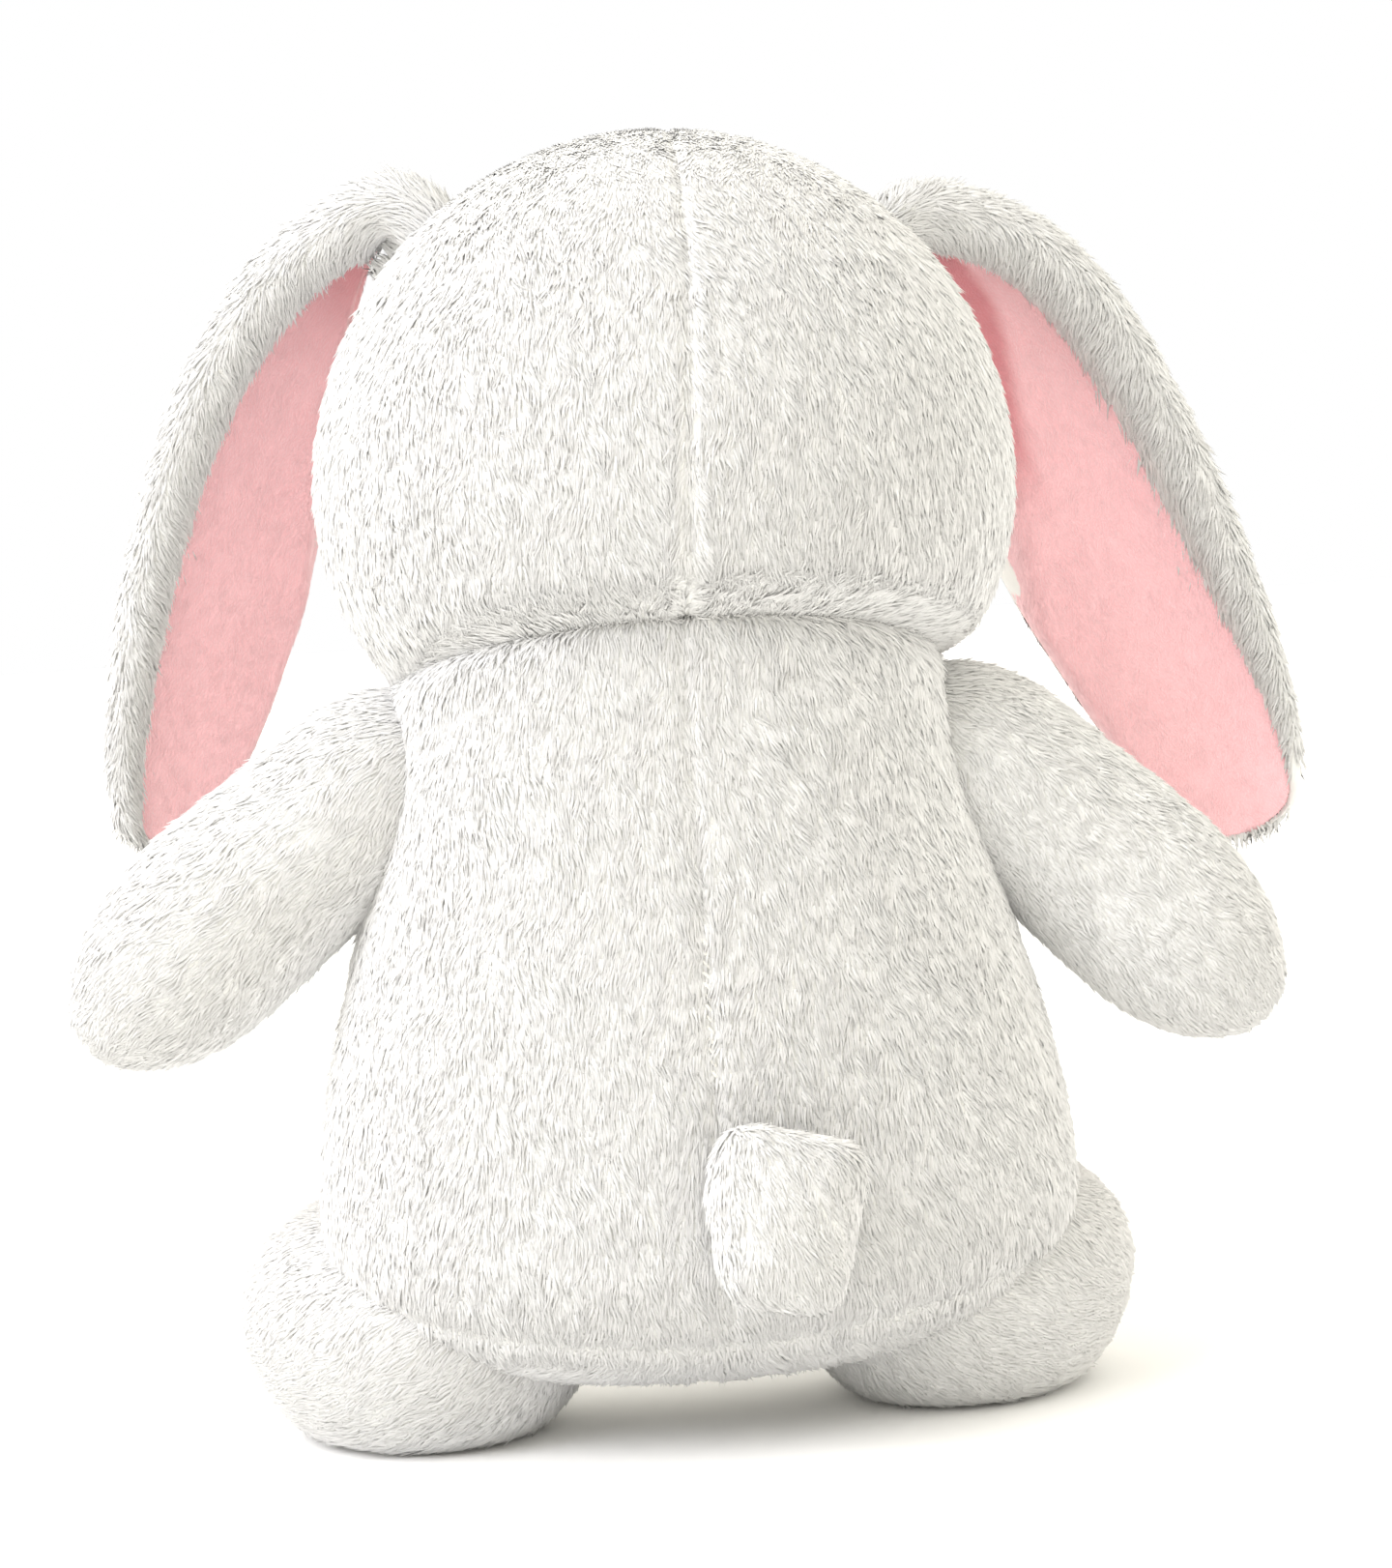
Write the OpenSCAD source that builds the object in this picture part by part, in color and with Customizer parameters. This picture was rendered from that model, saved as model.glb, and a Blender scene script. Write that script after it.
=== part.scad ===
// Stuffed lop-eared bunny: sewn plush panels over packed fibre, with a jointed rest pose.
// Millimetres, +Z up. The face looks along -Y and the toy's own left side is +X.
// Origin: on the standing surface, under the middle of the toy.

/* [Torso] */
// Height of the centre of the neck above the soles
neck_z = 170; // [150:1:190]
// Half of the torso's widest width
torso_w = 88; // [75:1:95]
// Half of the torso's widest depth
torso_d = 60; // [52:1:66]
// Half of the torso's width at the neck
neck_w = 64; // [58:1:70]
// Half of the torso's depth at the neck
neck_d = 56; // [54:1:62]
// Height of the torso's widest place
torso_wide_z = 52; // [46:1:60]
// Height of the torso's lowest point
torso_low_z = 10; // [9:1:14]
// Height of the base seam at the middle of the back
base_seam_z = 26; // [20:1:30]
// How much higher the base seam runs at the sides
base_seam_rise = 12; // [6:1:16]

/* [Head] */
// Half of the head's width
head_w = 81; // [76:1:88]
// Half of the head's depth
head_d = 70; // [64:1:74]
// Height of the head's widest place above the neck
head_mid = 42; // [38:1:48]
// Height of the crown above the head's widest place
crown_h = 83; // [76:1:90]
// Depth of the head's lower half
chin_h = 71; // [66:1:76]
// How far the head leans towards its own right at rest
head_lean = 4; // [0:0.5:6]
// Slope of the neck opening, higher at the back
neck_slope = 14; // [6:1:16]

/* [Ears] */
// How much wider or narrower the ears are than drawn
ear_width = 1; // [0.85:0.05:1.1]
// Thickness of an ear's plush side
ear_plush = 3.5; // [3:0.5:4]
// Thickness of an ear's lining
ear_lining = 2; // [1.5:0.5:2.5]
// Turn of the left ear's lining towards the head
left_ear_turn = 26; // [20:1:34]
// Turn of the right ear's lining towards the head
right_ear_turn = 14; // [10:1:24]

/* [Limbs] */
// Length of an arm from the centre of its root to the paw's end
arm_length = 85; // [76:1:90]
// Thickest radius of an arm
arm_r = 25; // [22:0.5:26]
// How far the left arm points below level
left_arm_drop = 36; // [32:1:42]
// How far the right arm points below level
right_arm_drop = 43; // [32:1:45]
// Half of a foot's width
foot_w = 42; // [38:1:44]
// Half of a foot's length
foot_l = 54; // [48:1:58]
// Height of a foot
foot_h = 58; // [54:1:62]
// How far the toes turn out
toe_out = 12; // [0:1:16]

/* [Cloth] */
// Thickness of the plush with its pile
fur = 4; // [3:0.5:5]
// Clearance between pieces that don't move
gap = 0.2; // [0.15:0.05:0.4]

/* [Hidden] */

WHITE = [0.93, 0.93, 0.91];
PINK = [0.97, 0.62, 0.66];
FIBRE = [0.97, 0.97, 0.95];
THREAD = [0.85, 0.84, 0.80];

columns = 32;              // facets round the head and the torso
step = 360 / columns;
plumpness = 2.4;           // exponent of the torso's round bottom
seam_half = 1.1;           // half angle of the open seam line, in degrees
neck = [0, 0, neck_z];     // pivot of the head
neck_gap = 7;              // head and torso each stop this far from the neck's plane
neck_ball_r = 49.5;
ball_gap = 1;              // running clearance round a faceted ball
left_shoulder = [68, 0, 149];   // pivots of the arms
right_shoulder = [71, 0, 145];
shoulder_r = 21.5;
left_root = [57, -18, 98]; // pivots of the ears, in the head's frame
right_root = [55, -18, 97];
ear_root_r = 18;
ear_root_half = 11;        // half thickness of the folded root, along the pivot's axis
left_foot = [65, -24, 0];  // middles of the soles
right_foot = [61, -24, 0];
foot_mid_z = 29;
sole_cut_h = 38;           // depth of the full curve that the flat sole cuts off
tail_hinge = [8, 67.8];    // the tail's seam line seen from above
tail_z = 57;
eye_at = [30, 50];         // across and above the neck
eye_r = 6.5;
muzzle_at = [0, -65, 25];
muzzle_size = [23, 15, 16];

// ---- shape formulas ----

function mix(a, b, t) = a + (b - a) * t;
function clamp01(t) = max(0, min(1, t));
function eased(t) = let (u = clamp01(t)) u * u * (3 - 2 * u);
function flat(lists) = [for (l = lists) each l];

// Angle on the torso's round bottom at which it reaches height z.
function bottom_angle(z) = acos(pow((torso_wide_z - z) / (torso_wide_z - torso_low_z), plumpness / 2));
function base_seam_angle(t) = bottom_angle(base_seam_z + base_seam_rise * pow(cos(t), 2));

// A point on the round bottom: a is 0 at the lowest point and 90 at the widest ring.
function bottom_point(t, a, inset) =
    let (across = pow(sin(a), 2 / plumpness), down = pow(cos(a), 2 / plumpness))
    [(torso_w - inset) * across * cos(t), (torso_d - inset) * across * sin(t),
     torso_wide_z - (torso_wide_z - torso_low_z - inset) * down];

// A point on the tapered upper torso: h is 0 at the widest ring and 1 above the neck.
torso_top_z = 192;
function upper_point(t, h, inset) =
    let (z = mix(torso_wide_z, torso_top_z, h), k = eased((z - torso_wide_z) / (neck_z + 5 - torso_wide_z)))
    [(mix(torso_w, neck_w, k) - inset) * cos(t), (mix(torso_d, neck_d, k) - inset) * sin(t), z];

side_rows = 3;
upper_rows = 7;
base_rows = 5;
function torso_side_rows(angles, inset) = concat(
    [for (r = [0 : side_rows - 1])
        [for (t = angles) bottom_point(t, mix(base_seam_angle(t), 90, r / side_rows), inset)]],
    [for (r = [0 : upper_rows]) [for (t = angles) upper_point(t, r / upper_rows, inset)]]);
function torso_base_rows(angles, inset) =
    [for (r = [1 : base_rows]) [for (t = angles) bottom_point(t, base_seam_angle(t) * r / base_rows, inset)]];

// A point on the head, in the head's frame: a runs from -90 at the bottom to 90 at the crown.
function head_point(t, a, inset) =
    [(head_w - inset) * cos(a) * cos(t), (head_d - inset) * cos(a) * sin(t),
     head_mid + ((a > 0 ? crown_h : chin_h) - inset) * sin(a)];
head_angles = [-52, -39, -26, -13, 0, 13, 26, 39, 52, 65, 78];
function head_rows(angles, inset) = [for (a = head_angles) [for (t = angles) head_point(t, a, inset)]];

function spread(from, to, count) = [for (i = [0 : count]) mix(from, to, i / count)];
function full_turn(count) = [for (i = [0 : count - 1]) 360 * i / count];

// ---- solids from rows of points ----

// Triangles between two rows of m points; wrap closes the row into a ring.
function strip(a, b, m, wrap) = [for (c = [0 : (wrap ? m - 1 : m - 2)]) let (d = (c + 1) % m)
    each [[a + c, b + c, b + d], [a + c, b + d, a + d]]];
function cap_above(a, m, tip, wrap) = [for (c = [0 : (wrap ? m - 1 : m - 2)]) [a + c, tip, a + (c + 1) % m]];
function cap_below(a, m, tip) = [for (c = [0 : m - 1]) [tip, a + c, a + (c + 1) % m]];
function turned(faces) = [for (f = faces) [f[2], f[1], f[0]]];
function quad(a, b, c, d) = [[a, b, c], [a, c, d]];

// A closed body through rings of points, with a point at each end.
module loft(rows, low, high) {
    m = len(rows[0]);
    n = len(rows);
    polyhedron(
        points = concat(flat(rows), [low, high]),
        faces = concat(
            cap_below(0, m, n * m),
            flat([for (r = [0 : n - 2]) strip(r * m, (r + 1) * m, m, true)]),
            cap_above((n - 1) * m, m, n * m + 1, true)));
}

// A panel of cloth between an outer and an inner grid, with open edges walled in and a tip at its top.
module panel(outer, inner, outer_tip, inner_tip) {
    m = len(outer[0]);
    n = len(outer);
    size = n * m;
    tip = 2 * size;
    polyhedron(
        points = concat(flat(outer), flat(inner), [outer_tip, inner_tip]),
        faces = concat(
            flat([for (r = [0 : n - 2]) strip(r * m, (r + 1) * m, m, false)]),
            cap_above((n - 1) * m, m, tip, false),
            turned(flat([for (r = [0 : n - 2]) strip(size + r * m, size + (r + 1) * m, m, false)])),
            turned(cap_above(size + (n - 1) * m, m, tip + 1, false)),
            flat([for (c = [0 : m - 2]) quad(c, c + 1, size + c + 1, size + c)]),
            flat([for (r = [0 : n - 2]) quad(size + r * m, size + (r + 1) * m, (r + 1) * m, r * m)]),
            flat([for (r = [0 : n - 2]) let (e = m - 1)
                quad(r * m + e, (r + 1) * m + e, size + (r + 1) * m + e, size + r * m + e)]),
            quad(size + (n - 1) * m, tip + 1, tip, (n - 1) * m),
            quad(size - 1, tip, tip + 1, 2 * size - 1)));
}

// A cup of cloth: rings from its closed end to its open rim.
module cup(outer, inner, outer_tip, inner_tip) {
    m = len(outer[0]);
    n = len(outer);
    size = n * m;
    tip = 2 * size;
    last = (n - 1) * m;
    polyhedron(
        points = concat(flat(outer), flat(inner), [outer_tip, inner_tip]),
        faces = concat(
            cap_below(0, m, tip),
            flat([for (r = [0 : n - 2]) strip(r * m, (r + 1) * m, m, true)]),
            turned(cap_below(size, m, tip + 1)),
            turned(flat([for (r = [0 : n - 2]) strip(size + r * m, size + (r + 1) * m, m, true)])),
            flat([for (c = [0 : m - 1]) let (d = (c + 1) % m)
                quad(size + last + c, size + last + d, last + d, last + c)])));
}

// A faceted ball, so that every face of a soft piece stays flat.
module ball(r, facets = 24) {
    rings = facets / 2;
    loft([for (k = [1 : rings - 1]) let (a = -90 + 180 * k / rings)
            [for (t = full_turn(facets)) [r * cos(a) * cos(t), r * cos(a) * sin(t), r * sin(a)]]],
        [0, 0, -r], [0, 0, r]);
}

module egg(size, facets = 20) {
    rings = facets / 2;
    loft([for (k = [1 : rings - 1]) let (a = -90 + 180 * k / rings)
            [for (t = full_turn(facets))
                [size[0] * cos(a) * cos(t), size[1] * cos(a) * sin(t), size[2] * sin(a)]]],
        [0, 0, -size[2]], [0, 0, size[2]]);
}

// A round slab with softened edges that turns about the Y axis.
module disc(r, half) {
    soft = 3;
    rows = [[-half, r - soft], [soft - half, r], [half - soft, r], [half, r - soft]];
    loft([for (row = rows) [for (t = full_turn(24)) [row[1] * sin(t), row[0], row[1] * cos(t)]]],
        [0, -half, 0], [0, half, 0]);
}

module mirrored(side) {
    mirror([side < 0 ? 1 : 0, 0, 0]) children();
}

// The head's frame: its origin is the neck's pivot, and it leans at rest.
// Moves the toy so that the origin lies under the middle of its box.
to_middle = [8, -3, 0];
module in_frame() { translate(to_middle) children(); }

module on_head() {
    translate(neck) rotate([0, -head_lean, 0]) children();
}

// Everything on the far side of the neck's sloping plane: side 1 is below the head, -1 above the torso.
module neck_cut(side) {
    big = 400;
    translate(neck) rotate([neck_slope, 0, 0])
        translate([-big / 2, -big / 2, side > 0 ? neck_gap - big : -neck_gap]) cube(big);
}

// ---- head ----

module head_cuts() {
    neck_cut(1);
    translate(neck) ball(neck_ball_r + ball_gap);
    on_head() {
        translate(left_root) disc(ear_root_r + 0.6, ear_root_half + 0.6);
        mirrored(-1) translate(right_root) disc(ear_root_r + 0.6, ear_root_half + 0.6);
        eye_space(1);
        eye_space(-1);
    }
}

module head_panel(angles) {
    difference() {
        on_head() panel(head_rows(angles, 0), head_rows(angles, fur),
            [0, 0, head_mid + crown_h], [0, 0, head_mid + crown_h - fur]);
        head_cuts();
    }
}

module head_back_left() { in_frame() color(WHITE) head_panel(spread(0, 90 - seam_half, columns / 4)); }
module head_back_right() { in_frame() color(WHITE) head_panel(spread(90 + seam_half, 180, columns / 4)); }
module face_panel() { in_frame() color(WHITE) head_panel(spread(180, 360, columns / 2)); }

module head_stuffing() {
    inset = fur + gap;
    in_frame() color(FIBRE) difference() {
        on_head() loft(head_rows(full_turn(columns), inset),
            [0, 0, head_mid - 0.8 * chin_h], [0, 0, head_mid + crown_h - inset]);
        head_cuts();
    }
}

// Thread that lies in an open seam line: one stitch between each two points.
module stitches(points, thickness, drawn = 0.72) {
    for (i = [0 : len(points) - 2]) let (a = points[i], b = points[i + 1], d = b - a, l = norm(d))
        translate(a) rotate([0, acos(d[2] / l), atan2(d[1], d[0])])
            translate([0, 0, l * (1 - drawn) / 2]) cylinder(h = l * drawn, d = thickness, $fn = 6);
}

module head_seam_thread() {
    in_frame() color(THREAD) on_head() stitches([for (a = [-14 : 4 : 62]) head_point(90, a, 1.6)], 1.1);
}

module muzzle() {
    in_frame() color(WHITE) on_head() difference() {
        translate(muzzle_at) egg(muzzle_size);
        loft([for (a = head_angles) [for (t = full_turn(columns)) head_point(t, a, -gap)]],
            [0, 0, head_mid - 0.8 * chin_h], [0, 0, head_mid + crown_h + gap]);
    }
}

module nose() {
    in_frame() color(PINK) on_head() difference() {
        translate(muzzle_at + [0, -muzzle_size[1] * 0.86, muzzle_size[2] * 0.5]) egg([7.5, 4, 4.5], 16);
        translate(muzzle_at) egg(muzzle_size + [gap, gap, gap]);
    }
}

// The mouth: one stitch down from the nose, then a curve to each side, laid on the muzzle's front.
function on_muzzle(x, z) = let (u = x / muzzle_size[0], w = z / muzzle_size[2])
    muzzle_at + [x, -(muzzle_size[1] + 0.8) * sqrt(1 - u * u - w * w), z];
module mouth_thread() {
    in_frame() color([0.75, 0.42, 0.45]) on_head() {
        stitches([for (z = [2, -1, -4]) on_muzzle(0, z)], 1, 0.8);
        for (side = [1, -1])
            stitches([for (k = [0 : 3]) on_muzzle(side * (1.2 + 2.4 * k), -5 - 1.6 * sin(k * 50))], 1, 0.8);
    }
}

// A plastic eye on its own axis: the dome faces +Z, and its shank runs down through the cloth.
eye_sink = 2;
eye_shank = 15;
module eye() {
    color([0.03, 0.03, 0.035]) rotate_extrude($fn = 48)
        union() {
            intersection() {
                translate([0, -2]) circle(r = eye_r + 1, $fn = 48);
                square([eye_r, 2 * eye_r]);
            }
            translate([0, -eye_shank]) square([2.2, eye_shank + 1]);
        }
}

eye_turn = 24;             // the eyes look this far outwards
module at_eye(side) {
    surface_y = -head_d * sqrt(1 - pow(eye_at[0] / head_w, 2) - pow((eye_at[1] - head_mid) / crown_h, 2));
    translate([side * eye_at[0], surface_y, eye_at[1]]) rotate([0, 0, side * eye_turn]) rotate([94, 0, 0])
        translate([0, 0, -eye_sink]) children();
}
module eye_space(side) {
    at_eye(side) {
        cylinder(h = 12, r = eye_r + 0.4, $fn = 12);
        translate([0, 0, -eye_shank - 1]) cylinder(h = eye_shank + 2, r = 2.6, $fn = 12);
        translate([0, 0, -fur - 3.4]) cylinder(h = 3.4, r = 9.4, $fn = 12);
    }
}
module eye_left() { in_frame() on_head() at_eye(1) eye(); }
module eye_right() { in_frame() on_head() at_eye(-1) eye(); }
module eye_washer(side) {
    color([0.9, 0.9, 0.88]) on_head() at_eye(side) translate([0, 0, -fur - 2.6])
        difference() {
            cylinder(h = 1.6, r = 8.5, $fn = 12);
            translate([0, 0, -1]) cylinder(h = 4, r = 2.5, $fn = 12);
        }
}
module eye_washer_left() { in_frame() eye_washer(1); }
module eye_washer_right() { in_frame() eye_washer(-1); }

// ---- ears ----

// The middle line of an ear is one cubic curve from the root over a soft arch down to the tip.
function bezier(p, t) = let (s = 1 - t)
    p[0] * s * s * s + p[1] * 3 * s * s * t + p[2] * 3 * s * t * t + p[3] * t * t * t;
function bezier_way(p, t) = let (s = 1 - t)
    (p[1] - p[0]) * 3 * s * s + (p[2] - p[1]) * 6 * s * t + (p[3] - p[2]) * 3 * t * t;

left_ear = [[57, -16, 98], [72, -18, 119], [99, -64, 52], [117, -52, -46]];
right_ear = [[55, -16, 97], [66, -18, 118], [106, -66, 58], [151, -54, -44]];
// One section to a row: place along the line, half widths towards the head and away from it,
// depth of the hollow, and radius of the plush roll along the outer edge.
left_sections = [
    [0.06, 10, 12, 1, 6],
    [0.12, 12, 13, 2, 7.5],
    [0.19, 11, 14, 3, 8],
    [0.27, 12, 17, 4, 8.2],
    [0.36, 17, 20, 6, 8],
    [0.46, 21, 22.5, 8, 7.7],
    [0.56, 24, 24, 9, 7.2],
    [0.66, 26, 24.5, 9, 6.8],
    [0.76, 25.5, 23.5, 8, 6.4],
    [0.85, 22, 21, 5.5, 5.8],
    [0.92, 18, 17, 3, 5],
    [0.97, 11, 11.5, 1, 3.8]
];
right_sections = [
    [0.06, 10, 12, 1, 6],
    [0.12, 12, 14, 2, 7.5],
    [0.19, 11, 17, 3, 8],
    [0.27, 13, 20, 4, 8.2],
    [0.36, 19, 22.5, 6, 8],
    [0.46, 24, 24, 8, 7.7],
    [0.56, 28, 25, 9, 7.2],
    [0.66, 29, 25, 9, 6.8],
    [0.76, 28, 24.5, 8, 6.4],
    [0.85, 24.5, 22.5, 5.5, 5.8],
    [0.92, 20, 19, 3, 5],
    [0.97, 13, 13, 1, 3.8]
];

// Directions across the ear, outwards from the head, and out of its lining.
function ear_across(line, t, turn) =
    let (way = bezier_way(line, t), d = way / norm(way), f = [-d[2], 0, d[0]],
        g = f - d * (f * d), out = g / norm(g), n = cross(out, d), back = n * sign(n[1]))
    [out * cos(turn) + back * sin(turn), back * cos(turn) - out * sin(turn)];
// Height of the ear's hollow side: it rises to the outer edge, and beyond a soft ridge it falls towards the head.
ridge_at = 0.55;           // place of the ridge between the middle and the inner edge
ridge_rise = 0.25;         // height of the ridge over the hollow's depth
ridge_fall = 0.9;          // drop of the inner edge below the hollow, over its depth
function ear_hollow(p, half_in, half_out, depth) = let (u = abs(p) / (p > 0 ? half_out : half_in))
    p > 0 ? -depth * (1 - u * u)
    : u < ridge_at ? -depth * (1 - ridge_rise * pow(u / ridge_at, 2))
    : -depth * mix(1 - ridge_rise, 1 + ridge_fall, (u - ridge_at) / (1 - ridge_at));

// The plush: round the outside, round the rolled edge, and back over the hollow side.
function plush_outline(half_in, half_out, depth, roll) = concat(
    [for (i = [0 : 6]) let (p = mix(-half_in, half_out - roll, i / 6))
        [p, ear_hollow(p, half_in, half_out, depth) - ear_plush * (0.6 + 0.4 * min(1, i / 2))]],
    [for (i = [1 : 6]) let (a = -90 + 39 * i) [half_out - roll + roll * cos(a), roll * sin(a)]],
    [for (i = [0 : 4]) let (p = mix(half_out - 2.1 * roll, -ridge_at * half_in, i / 4))
        [p, ear_hollow(p, half_in, half_out, depth)]],
    [[-half_in, ear_hollow(-half_in, half_in, half_out, depth)]]);

// The lining: a strip laid in the hollow, short of the roll and of the thin edge.
function lining_outline(half_in, half_out, depth, roll) =
    let (from = -0.94 * half_in, ridge = -ridge_at * half_in, to = half_out - 2.3 * roll,
        low = gap + 0.3, high = low + ear_lining, across = concat([from], [for (i = [0 : 4]) mix(ridge, to, i / 4)]))
    concat(
        [for (i = [0 : 5]) [across[i], ear_hollow(across[i], half_in, half_out, depth) + low]],
        [for (i = [5 : -1 : 0]) [across[i], ear_hollow(across[i], half_in, half_out, depth) + high]]);

function placed(line, t, turn, outline) =
    let (c = bezier(line, t), axes = ear_across(line, t, turn))
    [for (i = [len(outline) - 1 : -1 : 0]) c + axes[0] * outline[i][0] + axes[1] * outline[i][1]];

module ear_plush(line, sections, turn, root) {
    rows = [for (e = sections)
        placed(line, e[0], turn, plush_outline(e[1] * ear_width, e[2] * ear_width, e[3], e[4]))];
    union() {
        loft(rows, bezier(line, 0), bezier(line, 0.995));
        translate(root) disc(ear_root_r, ear_root_half);
    }
}

lining_start = 4;          // the lining begins at this section, below the folded root
lining_end = 0.006;        // length of its blunt upper end, over the ear's length
module ear_lining(line, sections, turn) {
    rows = [for (i = [lining_start : len(sections) - 1]) let (e = sections[i])
        placed(line, e[0], turn, lining_outline(e[1] * ear_width, e[2] * ear_width, e[3], e[4]))];
    first = sections[lining_start];
    half_in = first[1] * ear_width;
    half_out = first[2] * ear_width;
    ridge = ridge_at * half_in;
    rise = gap + 0.3 + ear_lining / 2;
    loft(rows,
        placed(line, first[0] - lining_end, turn,
            [[-ridge, ear_hollow(-ridge, half_in, half_out, first[3]) + rise]])[0],
        placed(line, 0.985, turn, [[0, 1.5]])[0]);
}

module ear_left_plush() {
    in_frame() color(WHITE) on_head() ear_plush(left_ear, left_sections, left_ear_turn, left_root);
}
module ear_left_lining() {
    in_frame() color(PINK) on_head() ear_lining(left_ear, left_sections, left_ear_turn);
}
module ear_right_plush() {
    in_frame() color(WHITE) on_head() mirrored(-1) ear_plush(right_ear, right_sections, right_ear_turn, right_root);
}
module ear_right_lining() {
    in_frame() color(PINK) on_head() mirrored(-1) ear_lining(right_ear, right_sections, right_ear_turn);
}

// ---- neck and torso ----

module neck_wad() { in_frame() color(FIBRE) translate(neck) ball(neck_ball_r, 24); }

module torso_cuts() {
    neck_cut(-1);
    translate(neck) ball(neck_ball_r + ball_gap);
    for (side = [1, -1]) {
        arm_space(side);
        foot_space(side);
    }
}

module torso_panel(angles) {
    difference() {
        panel(torso_side_rows(angles, 0), torso_side_rows(angles, fur),
            [0, 0, torso_top_z + 20], [0, 0, torso_top_z + 10]);
        torso_cuts();
    }
}

module back_left() { in_frame() color(WHITE) torso_panel(spread(0, 90 - seam_half, columns / 4)); }
module back_right() { in_frame() color(WHITE) torso_panel(spread(90 + seam_half, 180, columns / 4)); }
module belly() { in_frame() color(WHITE) torso_panel(spread(180, 360, columns / 2)); }

module base_panel() {
    around = full_turn(columns);
    in_frame() color(WHITE) difference() {
        cup(torso_base_rows(around, 0), torso_base_rows(around, fur),
            [0, 0, torso_low_z], [0, 0, torso_low_z + fur]);
        torso_cuts();
    }
}

pellets_at = [0, 31, 40];
pellets_size = [30, 17, 14];
module pellet_bag() {
    in_frame() color([0.80, 0.78, 0.72]) difference() {
        translate(pellets_at) egg(pellets_size);
        foot_space(1);
        foot_space(-1);
    }
}

module torso_stuffing() {
    around = full_turn(columns);
    inset = fur + gap;
    in_frame() color(FIBRE) difference() {
        loft(concat([for (r = [0 : base_rows - 2]) torso_base_rows(around, inset)[r]],
                torso_side_rows(around, inset)),
            [0, 0, torso_low_z + inset], [0, 0, torso_top_z + 10]);
        torso_cuts();
        translate(pellets_at) egg(pellets_size + [gap, gap, gap]);
    }
}

// Heights along the back seam, on the line halfway into the pile.
function back_seam_point(z) = upper_point(90, (z - torso_wide_z) / (torso_top_z - torso_wide_z), 1.6);
closing_low = 86;
closing_high = 114;
stitch = 4;
module back_seam_thread() {
    in_frame() color(THREAD) {
        stitches([for (z = [56 : stitch : closing_low]) back_seam_point(z)], 1.1);
        stitches([for (z = [closing_high : stitch : 172]) back_seam_point(z)], 1.1);
    }
}
module closing_stitches() {
    in_frame() color(THREAD) stitches([for (z = [closing_low + 1.5 : 2.5 : closing_high - 1]) back_seam_point(z)], 1.5, 0.6);
}

// ---- arms ----

// Radius along an arm: the seam at the shoulder is narrower than the stuffed middle.
function arm_radius(s) = s < 0.45
    ? mix(shoulder_r - 1.5, arm_r, eased(s / 0.4))
    : arm_r * pow(1 - pow((s - 0.45) / 0.55, 2.6), 1 / 2.2);
arm_steps = [0.06, 0.16, 0.28, 0.4, 0.54, 0.68, 0.8, 0.9, 0.965];
arm_flat = 0.92;           // depth of the arm's section over its height
function arm_ring(s, angles, inset) = let (r = arm_radius(s) - inset)
    [for (t = angles) [r * cos(t), arm_flat * r * sin(t), s * (arm_length - inset)]];
function arm_rows(angles, inset) = [for (s = arm_steps) arm_ring(s, angles, inset)];

module at_shoulder(side) {
    mirrored(side) translate(side > 0 ? left_shoulder : right_shoulder)
        rotate([0, 90 + (side > 0 ? left_arm_drop : right_arm_drop), 0]) children();
}

module arm_skin(side, angles) {
    color(WHITE) at_shoulder(side)
        panel(arm_rows(angles, 0), arm_rows(angles, fur), [0, 0, arm_length], [0, 0, arm_length - fur]);
}

// A ring of an arm's round root, from -90 at its lowest point to 0 at its widest.
function arm_root_ring(a, angles, root) = [for (t = angles)
    [root * cos(a) * cos(t), arm_flat * root * cos(a) * sin(t), root * sin(a)]];

// The packed arm ends in the round root that turns in the armhole.
module arm_stuffing(side) {
    inset = fur + gap;
    root = shoulder_r - 0.3;
    around = full_turn(20);
    color(FIBRE) at_shoulder(side)
        loft(concat([for (a = [-75 : 15 : 0]) arm_root_ring(a, around, root)], arm_rows(around, inset)),
            [0, 0, -root], [0, 0, arm_length - inset]);
}

// Room in the torso for an arm between its lowest and its highest place, in degrees below and above rest.
arm_room = 1.6;
arm_space_from = 0.1;      // the armhole follows the arm between these places along it
arm_space_to = 0.62;
left_arm_travel = [-8, 34];
right_arm_travel = [-6, 38];
module arm_space(side) {
    around = full_turn(16);
    hull()
        for (lift = side > 0 ? left_arm_travel : right_arm_travel)
            at_shoulder(side) rotate([0, -lift, 0])
                loft(concat([for (a = [-60 : 30 : 0]) arm_root_ring(a, around, shoulder_r + arm_room)],
                        [for (s = arm_steps) if (s > arm_space_from && s < arm_space_to) arm_ring(s, around, -arm_room)]),
                    [0, 0, -shoulder_r - arm_room], [0, 0, arm_space_to * arm_length]);
}

module arm_left_front() { in_frame() arm_skin(1, spread(180, 360, 10)); }
module arm_left_back() { in_frame() arm_skin(1, spread(0, 180, 10)); }
module arm_left_stuffing() { in_frame() arm_stuffing(1); }
module arm_right_front() { in_frame() arm_skin(-1, spread(180, 360, 10)); }
module arm_right_back() { in_frame() arm_skin(-1, spread(0, 180, 10)); }
module arm_right_stuffing() { in_frame() arm_stuffing(-1); }

// ---- feet ----

foot_levels = [0, 3, 9, 17, 25, 33, 41, 48, 53, foot_h - 1.6];
foot_columns = 24;
function foot_spread(z) = let (u = (z - foot_mid_z) / (z < foot_mid_z ? sole_cut_h : foot_h - foot_mid_z))
    sqrt(max(0, 1 - u * u));
function foot_ring(z, inset, height) = [for (t = full_turn(foot_columns))
    [(foot_w * foot_spread(z) - inset) * cos(t), (foot_l * foot_spread(z) - inset) * sin(t), height]];

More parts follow.
